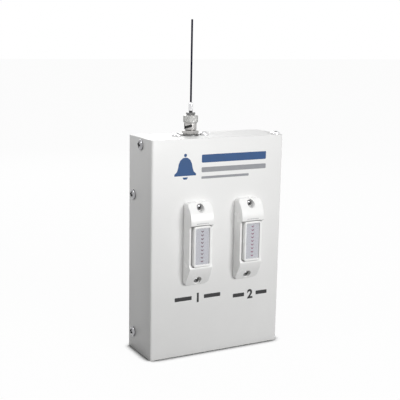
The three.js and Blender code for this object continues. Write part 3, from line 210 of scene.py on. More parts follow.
MATERIALS = {
    "cabinet_paint": PAINT,
    "white_plastic": PLASTIC,
    "grey_plastic": surface("grey_plastic", linear(140, 142, 145), 0.55, grain=0.3, grit=1200),
    "black_plastic": surface("black_plastic", linear(30, 31, 34), 0.5, mottle=0.2, grain=0.4,
                             grit=1300),
    "green_plastic": surface("green_plastic", linear(47, 122, 74), 0.5, grain=0.3),
    "board_laminate": board_material(),
    "screw_chrome": CHROME,
    "nickel_plate": NICKEL,
    "zinc_steel": surface("zinc_steel", (0.5, 0.52, 0.55), 0.38, 1.0, mottle=0.15, patch=300,
                          grain=0.25),
    "contact_brass": surface("contact_brass", (0.62, 0.42, 0.14), 0.28, 1.0, mottle=0.1, patch=400),
    "white_insulator": surface("white_insulator", linear(233, 231, 224), 0.55, grain=0.15),
    "red_silicone": surface("red_silicone", linear(154, 51, 39), 0.7, grain=0.3),
    "whip_coating": surface("whip_coating", linear(8, 8, 30), 0.6, mottle=0.3, patch=150, grain=0.3,
                            grit=1800, stretch=LENGTHWISE, sockets=[("Specular IOR Level", 0.15)]),
    "label_sheet": surface("label_sheet", linear(198, 198, 205), 0.6, mottle=0.02, grain=0.2,
                           grit=2500),
    "clear_lens": surface("clear_lens", (0.9, 0.92, 0.95), 0.08, mottle=0.01, grain=0.03,
                          alpha=0.1),
    "red_lead": surface("red_lead", linear(163, 34, 28), 0.4, grain=0.2),
    "grey_lead": surface("grey_lead", linear(85, 88, 92), 0.4, grain=0.2),
    "black_lead": surface("black_lead", linear(28, 28, 30), 0.4, mottle=0.2, grain=0.2),
}
BLUE_INK = surface("blue_ink", linear(22, 72, 124), 0.45, mottle=0.05, patch=200, grain=0.2)
GREY_INK = surface("grey_ink", linear(150, 152, 156), 0.5, mottle=0.04, patch=200, grain=0.2)
BLACK_INK = surface("black_ink", linear(24, 24, 26), 0.45, mottle=0.15, patch=200, grain=0.2)
LABEL_INKS = {
    "left": surface("dark_red_ink", linear(84, 20, 56), 0.5, mottle=0.1, patch=500, grain=0.2),
    "right": surface("magenta_ink", linear(124, 14, 80), 0.5, mottle=0.1, patch=500, grain=0.2),
}

for part in frame["record"]["subparts"]:
    kept = frame["nodes"][part["node"]]
    kept.data.materials.clear()
    kept.data.materials.append(MATERIALS[part["material_slot"]])
    kept.data.shade_smooth()
    weld = kept.modifiers.new("weld", "WELD")
    weld.merge_threshold = WELD_GAP
    if part["node"] != "rear_chassis":
        rounding = kept.modifiers.new("rounding", "BEVEL")
        rounding.width = ROUNDING
        rounding.segments = 2
        rounding.limit_method = "ANGLE"
        rounding.angle_limit = math.radians(ROUNDED_ANGLE)
    normals = kept.modifiers.new("normals", "WEIGHTED_NORMAL")
    normals.weight = 100


# Meshes


def skin(rings, wrap=False):
    """(vertices, faces) over rings of points with equal counts, closed by caps or onto the first ring."""
    count = len(rings[0])
    vertices = [point for ring in rings for point in ring]
    faces = []
    for row in range(len(rings) if wrap else len(rings) - 1):
        below, above = row * count, (row + 1) % len(rings) * count
        for i in range(count):
            j = (i + 1) % count
            faces.append((below + i, below + j, above + j, above + i))
    if not wrap:
        faces.append(tuple(reversed(range(count))))
        faces.append(tuple(range(len(vertices) - count, len(vertices))))
    return vertices, faces


def circle(radius, height, count=64):
    """A ring of points round the z axis."""
    steps = [2 * math.pi * i / count for i in range(count)]
    return [(radius * math.cos(a), radius * math.sin(a), height) for a in steps]


def turned(profile, wrap=False, count=64):
    """A solid turned from (radius, height) points."""
    return skin([circle(radius, height, count) for radius, height in profile], wrap)


def rounded(width, length, radius, height, steps=8):
    """A ring round a rectangle with rounded corners."""
    ring = []
    for quarter, (sx, sy) in enumerate(((1, 1), (-1, 1), (-1, -1), (1, -1))):
        for i in range(steps + 1):
            angle = math.pi / 2 * (quarter + i / steps)
            x = sx * (width / 2 - radius) + radius * math.cos(angle)
            y = sy * (length / 2 - radius) + radius * math.sin(angle)
            ring.append((x, y, height))
    return ring


def prism(outline, low, high):
    """A solid over a flat outline of (x, y) points."""
    return skin([[(x, y, z) for x, y in outline] for z in (low, high)])


def joined(*solids):
    vertices, faces = [], []
    for more, new_faces in solids:
        start = len(vertices)
        vertices += more
        faces += [tuple(start + i for i in face) for face in new_faces]
    return vertices, faces


def moved(solid, matrix):
    vertices, faces = solid
    return [tuple(matrix @ Vector(v)) for v in vertices], faces


def plain_object(name, solid):
    mesh = bpy.data.meshes.new(name)
    mesh.from_pydata(solid[0], [], solid[1])
    mesh.update()
    made = bpy.data.objects.new(name, mesh)
    bpy.context.scene.collection.objects.link(made)
    return made


def baked(obj):
    """The object with its modifiers applied to its mesh."""
    graph = bpy.context.evaluated_depsgraph_get()
    mesh = bpy.data.meshes.new_from_object(obj.evaluated_get(graph))
    obj.modifiers.clear()
    obj.data = mesh
    return obj


def cut(obj, solid, operation="DIFFERENCE"):
    cutter = plain_object("cutter", solid)
    modifier = obj.modifiers.new("cut", "BOOLEAN")
    modifier.object = cutter
    modifier.operation = operation
    modifier.solver = "EXACT"
    baked(obj)
    bpy.data.objects.remove(cutter)
    return obj


def finished(obj, material, matrix, body, slot=None, stands_for=(), sharp=32.0, other=None):
    """Puts a piece in place in metres, with its body and shading.

    other is a second material and a test that picks its faces by their centres; here it always carries the
    near-black painted shade.
    """
    obj.data.materials.clear()
    obj.data.materials.append(material)
    if other:
        obj.data.materials.append(other[0])
        for face in obj.data.polygons:
            face.material_index = int(other[1](face.center))
    obj.data.transform(Matrix.Scale(0.001, 4) @ matrix)
    obj.data.shade_smooth()
    obj.data.set_sharp_from_angle(angle=math.radians(sharp))
    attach(obj, body)
    if stands_for:
        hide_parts(*stands_for)
    return obj


def piece(name, solid, material, matrix, body, **facts):
    return finished(plain_object(name, solid), material, matrix, body, **facts)


# Cabinet


def fillet(corner, before, after, radius, steps=8):
    """Points on an arc that rounds a right-angled corner."""
    corner, before, after = Vector(corner), Vector(before), Vector(after)
    centre = corner - before * radius + after * radius
    arc = []
    for i in range(steps + 1):
        angle = math.pi / 2 * i / steps
        point = centre - after * radius * math.cos(angle) + before * radius * math.sin(angle)
        arc.append((point.x, point.y))
    return arc


def cover_outline():
    """The front and both sides of the cover from above."""
    x, y, back = WIDTH / 2, DEPTH / 2, DEPTH / 2
    outer = [(-x, back), *fillet((-x, -y), (0, -1), (1, 0), BEND)]
    outer += fillet((x, -y), (1, 0), (0, 1), BEND)
    x, y = x - SHEET, y - SHEET
    inner = fillet((x, -y), (0, -1), (-1, 0), BEND - SHEET)
    inner += fillet((-x, -y), (-1, 0), (0, 1), BEND - SHEET)
    return [*outer, (WIDTH / 2, back), (x, back), *inner, (-x, back)]


def soften(obj, width, segments=2, angle=50.0):
    bevel = obj.modifiers.new("edge", "BEVEL")
    bevel.width = width
    bevel.segments = segments
    bevel.limit_method = "ANGLE"
    bevel.angle_limit = math.radians(angle)
    return baked(obj)


STILL = Matrix.Identity(4)
cover = soften(plain_object("cover_sheet", prism(cover_outline(), 0, HEIGHT)), 0.25)
finished(cover, PAINT, STILL, "cabinet", slot="cabinet_paint", stands_for=["front_cover"])


def cross_cutter(radius, top, depth):
    """A plus shape that widens upwards."""
    rings = []
    for height, reach, half in ((top - depth, 0.24, 0.1), (top + 1, 0.95, 0.27)):
        r, h = radius * reach, radius * half
        plus = [(r, h), (h, h), (h, r), (-h, r), (-h, h), (-r, h)]
        plus += [(-r, -h), (-h, -h), (-h, -r), (h, -r), (h, -h), (r, -h)]
        rings.append([(x, y, height) for x, y in plus])
    return skin(rings)


def screw_mesh(name, sizes):
    """A domed screw with a cross recess, its head standing on z = 0."""
    radius, height, shank, length = sizes
    skirt = 0.22 * height
    profile = [(shank * 0.8, -length), (shank, -length + 0.5), (shank, 0)]
    profile += [(radius - 0.15, 0), (radius, 0.15)]
    for i in range(13):
        angle = math.pi / 2 * i / 12
        across = radius * max(math.cos(angle) ** 0.75, 0.02)
        profile.append((across, skirt + (height - skirt) * math.sin(angle)))
    screw = plain_object(name, turned(profile))
    return cut(screw, cross_cutter(radius, height, 0.62 * height))


def recess_with_painted_shade(sizes):
    """Picks the faces inside a screw's cross, for the near-black painted shade."""
    radius, height = sizes[:2]
    skirt = 0.22 * height

    def test(centre):
        across = math.hypot(centre.x, centre.y)
        if across > 0.85 * radius or centre.z < 0.2 * height:
            return False
        slope = (across / radius) ** (1 / 0.75)
        return centre.z < skirt + (height - skirt) * math.sqrt(1 - slope * slope) - 0.06 * height

    return PAINTED_SHADE, test


def place(x, y, z, turn=STILL):
    return Matrix.Translation((x, y, z)) @ turn


def copy_of(obj, name):
    made = bpy.data.objects.new(name, obj.data.copy())
    bpy.context.scene.collection.objects.link(made)
    return made


pattern = screw_mesh("pattern_screw", SCREW_SIZES)
# The cabinet screws get near-black painted shade in their cross recesses.
for side, sign in (("left", -1), ("right", 1)):
    for level, (height, back) in SIDE_SCREWS.items():
        turn = Matrix.Rotation(sign * math.pi / 2, 4, "Y") @ Matrix.Rotation(height, 4, "Z")
        spot = place(sign * (WIDTH / 2 + SEAT), back, height, turn)
        finished(copy_of(pattern, f"{side}_{level}_screw_head"), CHROME, spot, "cabinet",
                 slot="screw_chrome", stands_for=[f"{side}_{level}_screw"],
                 other=recess_with_painted_shade(SCREW_SIZES))
# The top screws wear the lighter chrome as painted light, being lit from above, with painted shade in their
# cross recesses.
for name, (x, y) in TOP_SCREWS.items():
    spot = place(x, y, HEIGHT + SEAT, Matrix.Rotation(x, 4, "Z"))
    finished(copy_of(pattern, f"top_{name}_screw_head"), BRIGHT_CHROME_AND_PAINTED_LIGHT, spot, "cabinet", slot="screw_chrome",
             stands_for=[f"top_{name}_screw"], other=recess_with_painted_shade(SCREW_SIZES))
bpy.data.objects.remove(pattern)


# Antenna connector

MAST = place(*ANTENNA)


def hex_ring(across, height, limit, count=96):
    """A hexagon ring whose corners stop at a limit radius."""
    ring = []
    for i in range(count):
        angle = 2 * math.pi * i / count
        near = (angle + math.pi / 6) % (math.pi / 3) - math.pi / 6
        radius = min(across / 2 / math.cos(near), limit)
        ring.append((radius * math.cos(angle), radius * math.sin(angle), height))
    return ring


def hex_nut(across, hole, low, high):
    """A hexagon nut with turned chamfers at both ends."""
    corner = across / math.sqrt(3)
    chamfer = (corner - across / 2) / math.sqrt(3)
    rings = [circle(hole, low, 96), hex_ring(across, low, across / 2 - 0.1)]
    for share in (0.5, 1):
        rings.append(hex_ring(across, low + share * chamfer, across / 2 + share * (corner - across / 2)))
    for share in (1, 0.75, 0.5, 0.25, 0):
        limit = across / 2 + share * (corner - across / 2)
        rings.append(hex_ring(across, high - share * chamfer, limit))
    rings.append(circle(hole, high, 96))
    return skin(rings, wrap=True)


def knurled_grip(low, high, radius, bore):
    """A grip band with a diamond knurl between plain rounded rims."""
    count, rows = KNURL_TEETH * 8, 44
    rings = [circle(bore, low, count), circle(radius - 1.1, low, count)]
    for row in range(rows + 1):
        height = low + 0.25 + (high - low - 0.6) * row / rows
        rim = min(height - low, high - height)
        body = radius - max(0.0, 1.2 - rim) ** 2 * 0.55
        share = min(1.0, max(0.0, (rim - 0.8) / 0.3))
        ring = []
        for i in range(count):
            angle = 2 * math.pi * i / count
            u = (KNURL_TEETH * i / count + height / 1.15) % 1
            v = (KNURL_TEETH * i / count - height / 1.15) % 1
            groove = max(abs(u - 0.5), abs(v - 0.5)) * 2
            r = body - share * 0.24 * max(0.0, groove - 0.45) / 0.55
            ring.append((r * math.cos(angle), r * math.sin(angle), height))
        rings.append(ring)
    rings += [circle(radius - 1.3, high, count), circle(bore, high, count)]
    return skin(rings, wrap=True)


def slot_cutters(turn):
    """Ramp, entry and locking pocket of one bayonet slot."""
    locked = BAYONET_ANGLE + turn
    entry = PIN_HEIGHT - UNLOCK_LIFT
    rings = []
    for i in range(25):
        share = i / 24
        angle = math.radians(locked - UNLOCK_TURN * (1 - share))
        height = entry + UNLOCK_LIFT * share
        corners = ((3.0, SLOT / 2), (3.0, -SLOT / 2), (8.0, -SLOT / 2), (8.0, SLOT / 2))
        rings.append([(r * math.cos(angle), r * math.sin(angle), height + rise) for r, rise in corners])
    yield skin(rings[::-1])
    for angle, height in ((locked, PIN_HEIGHT), (locked - UNLOCK_TURN, entry)):
        turn_out = Matrix.Rotation(math.radians(angle), 4, "Z") @ Matrix.Rotation(math.pi / 2, 4, "Y")
        pocket = turned([(SLOT / 2 + 0.1, 4), (SLOT / 2 + 0.1, 8)], count=40)
        yield moved(pocket, place(0, 0, height, turn_out))
    channel = [(4, -SLOT / 2), (8, -SLOT / 2), (8, SLOT / 2), (4, SLOT / 2)]
    entry_turn = Matrix.Rotation(math.radians(locked - UNLOCK_TURN), 4, "Z")
    yield moved(prism(channel, 3, PIN_HEIGHT + 2), entry_turn)


low, high, radius = SLEEVE
sleeve_profile = [(5.25, low + 0.2), (5.4, low), (radius - 0.3, low), (radius, low + 0.3)]
sleeve_profile += [(radius, low + 0.9), (radius - 0.2, low + 1.05), (radius - 0.2, low + 1.35)]
sleeve_profile += [(radius, low + 1.5), (radius, high - 0.9), (radius + 0.5, high - 0.35)]
sleeve_profile += [(radius + 0.5, high + 0.3), (5.25, high + 0.3)]
sleeve = plain_object("bayonet_sleeve", turned(sleeve_profile, wrap=True, count=96))
for turn in (0, 180):
    for cutter in slot_cutters(turn):
        cut(sleeve, cutter)
# Near-black painted shade on the sleeve's bore and the walls of its slots.
finished(sleeve, NICKEL, MAST, "bayonet_nut", slot="nickel_plate", stands_for=["coupling_nut"],
         other=(PAINTED_SHADE, lambda c: math.hypot(c.x, c.y) < radius - 0.35 and c.z < high))
piece("bayonet_grip", knurled_grip(*GRIP, 4.4), ROUGH_NICKEL, MAST, "bayonet_nut",
      slot="nickel_plate", sharp=50)

jack_profile = [(2.7, -16.4), (4.2, -16.4), (4.2, -6.4), (8, -6.4), (8, -3.4), (6.35, -3.4)]
jack_profile += [(6.35, 4.8), (5.85, 5.3), (4.85, 5.3), (4.85, 13.3), (4.65, 13.6)]
jack_profile += [(4.2, 13.6), (4.2, 7.4), (2.7, 7.4)]
studs = []
for turn in (0, 180):
    out = Matrix.Rotation(math.radians(BAYONET_ANGLE + turn), 4, "Z") @ Matrix.Rotation(math.pi / 2, 4, "Y")
    stud = turned([(1, 4.5), (1, 5.8), (0.85, 5.95)], count=32)
    studs.append(moved(stud, place(0, 0, PIN_HEIGHT, out)))
# Near-black painted shade on the barrel and its studs above 5.2 mm, which are seen only through the slots.
piece("jack_barrel", joined(turned(jack_profile, wrap=True), *studs), NICKEL, MAST, "cabinet",
      slot="nickel_plate", stands_for=["jack_body"],
      other=(PAINTED_SHADE, lambda centre: centre.z > 5.2))
# The washer under the jack nut is drawn in the darkened nickel, as painted shade.
washer = [(THREAD, 0.1), (8.5, 0.1), (8.6, 0.2), (8.6, 1.3), (8.3, 1.6), (THREAD, 1.6)]
piece("jack_washer_ring", turned(washer, wrap=True), SHADOWED_NICKEL, MAST, "cabinet",
      slot="nickel_plate", stands_for=["jack_washer"])
piece("jack_hex_nut", hex_nut(*JACK_NUT), NICKEL, MAST, "cabinet",
      slot="nickel_plate", stands_for=["jack_nut"])
# The gland nut is drawn in the darkened nickel, as painted shade.
piece("gland_hex_nut", hex_nut(*GLAND_NUT), SHADOWED_NICKEL, MAST, "antenna",
      slot="nickel_plate", stands_for=["gland_nut"])


def ferrule_rings():
    """A tube with a necked foot, six crimp flats and a rounded mouth."""
    profile = [(1.3, 23.1), (1.75, 23.1), (1.8, 23.2), (1.8, 24.2), (2.25, 24.7), (2.3, 25.0)]
    profile += [(2.3, 25.6), (2.3, 26.2), (2.3, 29.4), (2.3, 30.0), (2.3, 31.4), (2.2, 31.9)]
    profile += [(1.9, 32.5), (1.5, 33.0), (1.05, 33.0), (1.05, 31.4), (1.3, 30.9)]
    rings = []
    for radius, height in profile:
        crimped = CRIMP_HEIGHTS[0] < height < CRIMP_HEIGHTS[1] and radius > 2
        rings.append(hex_ring(CRIMP_ACROSS, height, 2.3) if crimped else circle(radius, height, 96))
    return rings


# The crimp tube is in the bright chrome, its own plating, with near-black painted shade on its necked foot
# below NECK_TOP.
piece("crimp_tube", skin(ferrule_rings(), wrap=True), BRIGHT_CHROME_AND_PAINTED_LIGHT, MAST, "antenna",
      slot="screw_chrome", stands_for=["crimp_ferrule"], other=(PAINTED_SHADE, lambda c: c.z < NECK_TOP))
rod = [(0.9, 24.2), (0.95, 24.3), (0.95, 112.9), (0.84, 113.2), (0.55, 113.45), (0.05, 113.6)]
piece("whip", turned(rod, count=32), MATERIALS["whip_coating"], MAST, "antenna",
      slot="whip_coating", stands_for=["whip_rod"])


# Push button units


def bend(start, control, end, steps=12):
    """Points after start on a quadratic curve."""
    made = []
    for i in range(1, steps + 1):
        t = i / steps
        made.append(tuple((1 - t) ** 2 * a + 2 * t * (1 - t) * b + t * t * c
                          for a, b, c in zip(start, control, end)))
    return made


def housing_side(inset, back):
    """The housing from its side in (y, z).

    It has sloped ends, a shoulder above the key and low rails beside it.
    """
    end, edge = UNIT_LENGTH / 2 - inset, 1.2
    upper = KEY_Y + KEY_SIZE[1] / 2 + KEY_GAP - inset
    lower = KEY_Y - KEY_SIZE[1] / 2 - KEY_GAP + inset
    shoulder, rail, foot = (depth - inset for depth in (SHOULDER, RAIL, FOOT))
    head_end, foot_end = HEAD_END - inset, max(FOOT_END - inset, back + 1)
    points = [(-end, back), (end, back), (end, head_end - edge)]
    curves = [
        ((end, head_end), (end - edge, head_end + edge / 2)),
        ((end - 9, shoulder - 0.7), (upper + 3.2, shoulder)),
        ((upper + 1, shoulder), (upper + 0.4, shoulder)),
        ((upper - 0.4, shoulder), (upper - 1, (shoulder + rail) / 2)),
        ((upper - 1.8, rail), (upper - 4, rail)),
        ((0, rail), (lower + 4, rail)),
        ((lower + 1.6, rail), (lower + 0.8, (rail + foot) / 2)),
        ((lower, foot), (lower - 1.6, foot)),
        ((lower - 9, foot - 2.3), (edge - end, foot_end)),
        ((-end, foot_end - edge / 2), (-end, max(foot_end - edge, back + 0.5))),
    ]
    for control, stop in curves:
        points += bend(points[-1], control, stop)
    return points


def drafted(solid):
    """Leans the sides of a solid inwards as it rises."""
    vertices = [(x - math.copysign(DRAFT * max(z, 0.0), x), y, z) for x, y, z in solid[0]]
    return vertices, solid[1]


def side_prism(outline, width):
    """A solid over an outline in (y, z), as wide as told."""
    return skin([[(x, y, z) for y, z in outline] for x in (-width / 2, width / 2)])


def housing_mesh():
    """A hollow moulded housing with soft edges, its key opening and its screw recesses."""
    housing = plain_object("pattern_housing", drafted(side_prism(housing_side(0, 0), UNIT_WIDTH)))
    plan = [rounded(UNIT_WIDTH, UNIT_LENGTH, UNIT_CORNER, z) for z in (-1, 0, 17)]
    cut(housing, drafted(skin(plan)), "INTERSECT")
    inner = UNIT_WIDTH - 2 * WALL
    hollow = plain_object("hollow", drafted(side_prism(housing_side(ROOF, -1), inner)))
    inner_plan = (inner, UNIT_LENGTH - 2 * ROOF, UNIT_CORNER - WALL)
    cut(hollow, skin([rounded(*inner_plan, z) for z in (-1.5, 16)]), "INTERSECT")
    for y, _ in UNIT_SCREWS.values():
        cut(hollow, moved(turned([(BOSS, -2), (BOSS, 15)]), place(0, y, 0)))
    corners = [tuple(vertex.co) for vertex in hollow.data.vertices]
    hollow_solid = (corners, [tuple(face.vertices) for face in hollow.data.polygons])
    bpy.data.objects.remove(hollow)
    cut(housing, hollow_solid)
    width, length, corner = KEY_SIZE
    opening = (width + 2 * KEY_GAP, length + 2 * KEY_GAP, corner + KEY_GAP)
    cut(housing, moved(skin([rounded(*opening, z) for z in (8, 17)]), place(0, KEY_Y, 0)))
    for y, seat in UNIT_SCREWS.values():
        cut(housing, moved(turned([(RECESS, seat), (RECESS, 17)]), place(0, y, 0)))
        hole = turned([(SCREW_HOLE, -1), (SCREW_HOLE, seat + 1)], count=32)
        cut(housing, moved(hole, place(0, y, 0)))
    remesh = housing.modifiers.new("remesh", "REMESH")
    remesh.mode = "VOXEL"
    remesh.voxel_size = VOXEL
    smooth = housing.modifiers.new("smooth", "SMOOTH")
    smooth.factor = 0.5
    smooth.iterations = SMOOTHING
    fewer = housing.modifiers.new("fewer", "DECIMATE")
    fewer.ratio = KEPT_SHARE
    return baked(housing)


def key_solid():
    """A hollow cap with lips under the rails, a rounded frame and a pocket for its label."""
    width, length, corner = KEY_SIZE
    rings = [rounded(16.4, 37.8, 0.9, z) for z in (12.9, 7.8)]
    rings += [rounded(width + 2.6, length, corner, z) for z in (7.8, 9.3)]
    rings.append(rounded(width, length, corner, 9.3))
    edge = 0.9
    for i in range(7):
        angle = math.pi / 2 * i / 6
        inset = edge * (1 - math.cos(angle))
        height = KEY_TOP - edge * (1 - math.sin(angle))
        rings.append(rounded(width - 2 * inset, length - 2 * inset, corner - inset, height))
    pocket = (LABEL_SIZE[0] + 0.6, LABEL_SIZE[1] + 0.6, LABEL_SIZE[2] + 0.3)
    lip = [(0.5, KEY_TOP), (0.2, KEY_TOP - 0.08), (0.0, KEY_TOP - 0.3), (0.0, POCKET_FLOOR)]
    rings += [rounded(pocket[0] + inset, pocket[1] + inset, pocket[2] + inset / 2, z) for inset, z in lip]
    return joined(skin(rings), turned([(2.1, 8.1), (2.1, 13.4)], count=32))


def sheet_solid(low, high, edge):
    """A sheet of the label's outline with a bevelled upper edge."""
    width, length, corner = LABEL_SIZE
    rings = [rounded(width, length, corner, low), rounded(width, length, corner, high - edge)]
    rings.append(rounded(width - 2 * edge, length - 2 * edge, corner - edge, high))
    return skin(rings)


def chevrons():
    """Small marks in a column down the label."""
    marks = []
    for i in range(CHEVRONS):
        y = CHEVRON_TOP - CHEVRON_PITCH * i
        vee = [(-1.4, y + 1.2), (0.0, y + 0.2), (1.4, y + 1.2)]
        vee += [(1.4, y + 0.1), (0.0, y - 1.0), (-1.4, y + 0.1)]
        marks.append(prism(vee[::-1], LABEL_TOP, LABEL_TOP + MARK))
    return joined(*marks)


def dashes(left, right, y, height, low, high, count):
    """A broken line of small bars."""
    pitch = (right - left) / count
    bars = []
    for i in range(count):
        x0, x1 = left + pitch * i, left + pitch * (i + 0.72)
        bars.append(prism([(x0, y), (x1, y), (x1, y + height), (x0, y + height)], low, high))
    return joined(*bars)


housing_pattern = housing_mesh()
screw_pattern = screw_mesh("pattern_unit_screw", UNIT_SCREW_SIZES)
for side, x in UNIT_X.items():
    unit = place(x, FRONT - SEAT, UNIT_Z, Matrix.Rotation(math.pi / 2, 4, "X"))
    key_place = unit @ Matrix.Translation((0, KEY_Y, 0))
    key_body = f"{side}_push_key"
    finished(copy_of(housing_pattern, f"{side}_shell"), PLASTIC, unit, "cabinet",
             slot="white_plastic", stands_for=[f"{side}_housing"], sharp=60)
    piece(f"{side}_key_cap", key_solid(), PLASTIC, key_place, key_body,
          slot="white_plastic", stands_for=[f"{side}_key"])
    piece(f"{side}_label_sheet", sheet_solid(14.2, LABEL_TOP, 0.04), MATERIALS["label_sheet"],
          key_place, key_body, slot="label_sheet", stands_for=[f"{side}_label"])
    piece(f"{side}_label_marks", chevrons(), LABEL_INKS[side], key_place, key_body)
    piece(f"{side}_clear_lens", sheet_solid(*LENS, 0.15), MATERIALS["clear_lens"], key_place, key_body,
          slot="clear_lens", stands_for=[f"{side}_lens"])
    piece(f"{side}_shoulder_line", dashes(-6.8, 6.6, 22.3, 0.55, 14.7, 15.03, 9), GREY_INK, unit,
          "cabinet")
    for level, (y, seat) in UNIT_SCREWS.items():
        spot = unit @ place(0, y, seat + SEAT, Matrix.Rotation(0.4 * y, 4, "Z"))
        # The lower screws sit deep in their recesses and are drawn in the darkened nickel, as painted
        # shade; all unit screws get painted shade in their cross recesses.
        metal = CHROME if level == "upper" else SHADOWED_NICKEL
        finished(copy_of(screw_pattern, f"{side}_unit_screw_{level}"), metal, spot, "cabinet",
                 slot="screw_chrome", stands_for=[f"{side}_housing_screw_{level}"],
                 other=recess_with_painted_shade(UNIT_SCREW_SIZES))
bpy.data.objects.remove(housing_pattern)
bpy.data.objects.remove(screw_pattern)


# Printing on the front: plain bars, a bell and plain numbers

FACE = place(0, FRONT, 0, Matrix.Rotation(math.pi / 2, 4, "X"))


def bar(x0, x1, z0, z1, radius):
    """A printed bar with rounded corners."""
    outline = rounded(x1 - x0, z1 - z0, radius, 0, 6)
    middle_x, middle_z = (x0 + x1) / 2, (z0 + z1) / 2
    return prism([(x + middle_x, z + middle_z) for x, z, _ in outline], 0, PRINT)


def bell(x, z, size):
    """A plain alarm bell with its clapper and knob."""
    right = [(0.0, 1.0), (0.14, 0.98), (0.3, 0.86), (0.4, 0.66)]
    right += [(0.45, 0.4), (0.52, 0.22), (0.66, 0.1), (0.66, 0.0)]
    outline = [(x + size * a, z + size * b) for a, b in right]
    outline += [(x - size * a, z + size * b) for a, b in reversed(right[1:])]
    clapper = [(x + size * a, z + size * b)
               for a, b in ((-0.16, -0.08), (0.16, -0.08), (0.1, -0.2), (-0.1, -0.2))]
    knob = [(x + 0.09 * size * math.cos(t), z + size * (1.12 + 0.09 * math.sin(t)))
            for t in (2 * math.pi * i / 20 for i in range(20))]
    return joined(*(prism(shape, 0, PRINT) for shape in (outline[::-1], clapper[::-1], knob)))


def number(name, text, x, z, size):
    """A printed digit in Blender's own plain font."""
    curve = bpy.data.curves.new(name, "FONT")
    curve.body = text
    curve.size = size
    curve.align_x = "CENTER"
    curve.offset = 0.5
    curve.extrude = PRINT / 2
    made = bpy.data.objects.new(name, curve)
    bpy.context.scene.collection.objects.link(made)
    graph = bpy.context.evaluated_depsgraph_get()
    mesh = bpy.data.meshes.new_from_object(made.evaluated_get(graph))
    bpy.data.objects.remove(made)
    printed = bpy.data.objects.new(name, mesh)
    bpy.context.scene.collection.objects.link(printed)
    return finished(printed, BLACK_INK, FACE @ Matrix.Translation((x, z, PRINT / 2)), "cabinet")


piece("print_bell", bell(*BELL), BLUE_INK, FACE, "cabinet")
piece("print_blue_bar", bar(*BARS, 196, 204, 1.2), BLUE_INK, FACE, "cabinet")
grey_bars = joined(bar(*BARS, 186.5, 191.5, 0.8), bar(BARS[0], 34, 180, 182.5, 0.5))
piece("print_grey_bars", grey_bars, GREY_INK, FACE, "cabinet")
for name, digit, x0, x1, z in CAPTIONS:
    middle = (x0 + x1) / 2
    left_bar = bar(x0, middle - DIGIT_ROOM, z - 2, z + 2, 0.6)
    right_bar = bar(middle + DIGIT_ROOM, x1, z - 2, z + 2, 0.6)
    piece(f"print_{name}_bars", joined(left_bar, right_bar), BLACK_INK, FACE, "cabinet")
    number(f"print_{name}_number", digit, middle, z - DIGIT_DROP, DIGIT_SIZE)


# Floor, light and camera


def node(tree, kind, **settings):
    made = tree.nodes.new(f"ShaderNode{kind}")
    for name, value in settings.items():
        setattr(made, name, value)
    return made


def seen_directly(tree):
    """1 for the rays of the camera, mirrors and glass, and 0 for the light that falls on the object."""
    path = node(tree, "LightPath")
    mirror = node(tree, "Math", operation="MAXIMUM")
    glass = node(tree, "Math", operation="MAXIMUM")
    tree.links.new(path.outputs["Is Camera Ray"], mirror.inputs[0])
    tree.links.new(path.outputs["Is Glossy Ray"], mirror.inputs[1])
    tree.links.new(mirror.outputs["Value"], glass.inputs[0])
    tree.links.new(path.outputs["Is Transmission Ray"], glass.inputs[1])
    return glass.outputs["Value"]


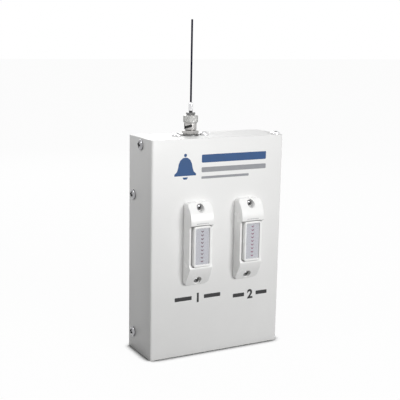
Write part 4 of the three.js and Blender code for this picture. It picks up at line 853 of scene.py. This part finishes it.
def floor_material():
    """White where it is seen, with a part of the light's shadow and a painted contact shadow, from ambient
    occlusion, where something stands.
    """
    made = bpy.data.materials.new("floor_white")
    made.use_nodes = True
    tree = made.node_tree
    shader = tree.nodes["Principled BSDF"]
    shader.inputs["Base Color"].default_value = (0.12, 0.12, 0.12, 1.0)
    shader.inputs["Roughness"].default_value = 0.9
    lit = node(tree, "BsdfDiffuse")
    lit.inputs["Color"].default_value = (0.85, 0.85, 0.85, 1.0)
    glow = node(tree, "Emission")
    share = node(tree, "MixShader")
    share.inputs["Fac"].default_value = 0.96
    # Painted contact shadow: ambient occlusion dims the floor's glow near the object.
    contact = node(tree, "AmbientOcclusion", samples=8)
    contact.inputs["Distance"].default_value = 0.012
    near = node(tree, "MapRange")
    for name, value in (("From Min", 0.55), ("From Max", 0.8), ("To Min", 0.0), ("To Max", 1.0)):
        near.inputs[name].default_value = value
    tree.links.new(contact.outputs["AO"], near.inputs["Value"])
    tree.links.new(near.outputs["Result"], glow.inputs["Strength"])
    tree.links.new(lit.outputs["BSDF"], share.inputs[1])
    tree.links.new(glow.outputs["Emission"], share.inputs[2])
    choice = node(tree, "MixShader")
    tree.links.new(seen_directly(tree), choice.inputs["Fac"])
    tree.links.new(shader.outputs["BSDF"], choice.inputs[1])
    tree.links.new(share.outputs["Shader"], choice.inputs[2])
    tree.links.new(choice.outputs["Shader"], tree.nodes["Material Output"].inputs["Surface"])
    return made


floor_corners = [(x * FLOOR_REACH, y * FLOOR_REACH, 0) for x, y in ((-1, -1), (1, -1), (1, 1), (-1, 1))]
floor = plain_object("floor", (floor_corners, [(0, 1, 2, 3)]))
floor.data.materials.append(floor_material())

world = bpy.data.worlds.new("studio")
bpy.context.scene.world = world
world.use_nodes = True
tree = world.node_tree
backdrop = tree.nodes["Background"]
backdrop.inputs["Color"].default_value = (1, 1, 1, 1)
strength = node(tree, "MapRange")
strength.inputs["To Min"].default_value = WORLD_LIGHT
tree.links.new(seen_directly(tree), strength.inputs["Value"])
tree.links.new(strength.outputs["Result"], backdrop.inputs["Strength"])


def lamp(name, position, target, size, power):
    """A soft rectangular lamp turned to a target."""
    light = bpy.data.lights.new(name, "AREA")
    light.shape = "RECTANGLE"
    light.size, light.size_y = size
    light.energy = power
    made = bpy.data.objects.new(name, light)
    bpy.context.scene.collection.objects.link(made)
    made.location = position
    made.rotation_euler = (Vector(target) - Vector(position)).to_track_quat("-Z", "Y").to_euler()


for facts in LAMPS:
    lamp(*facts)

azimuth, elevation, roll = (math.radians(angle) for angle in CAMERA_ANGLES)
level = math.cos(elevation)
back = Vector((math.sin(azimuth) * level, -math.cos(azimuth) * level, math.sin(elevation)))
right = (-back).cross(Vector((0, 0, 1))).normalized()
up = right.cross(-back)
camera_x = right * math.cos(roll) + up * math.sin(roll)
camera_y = up * math.cos(roll) - right * math.sin(roll)
camera = bpy.data.objects.new("camera", bpy.data.cameras.new("camera"))
bpy.context.scene.collection.objects.link(camera)
axes = Matrix((camera_x, camera_y, back)).transposed()
spot = Vector(CAMERA_TARGET) + back * CAMERA_DISTANCE
camera.matrix_world = Matrix.Translation(spot) @ axes.to_4x4()
camera.data.sensor_width = SENSOR_WIDTH
camera.data.lens = FOCAL_LENGTH
camera.data.clip_start = 0.05
bpy.context.scene.camera = camera
bpy.context.scene.view_settings.view_transform = "Standard"
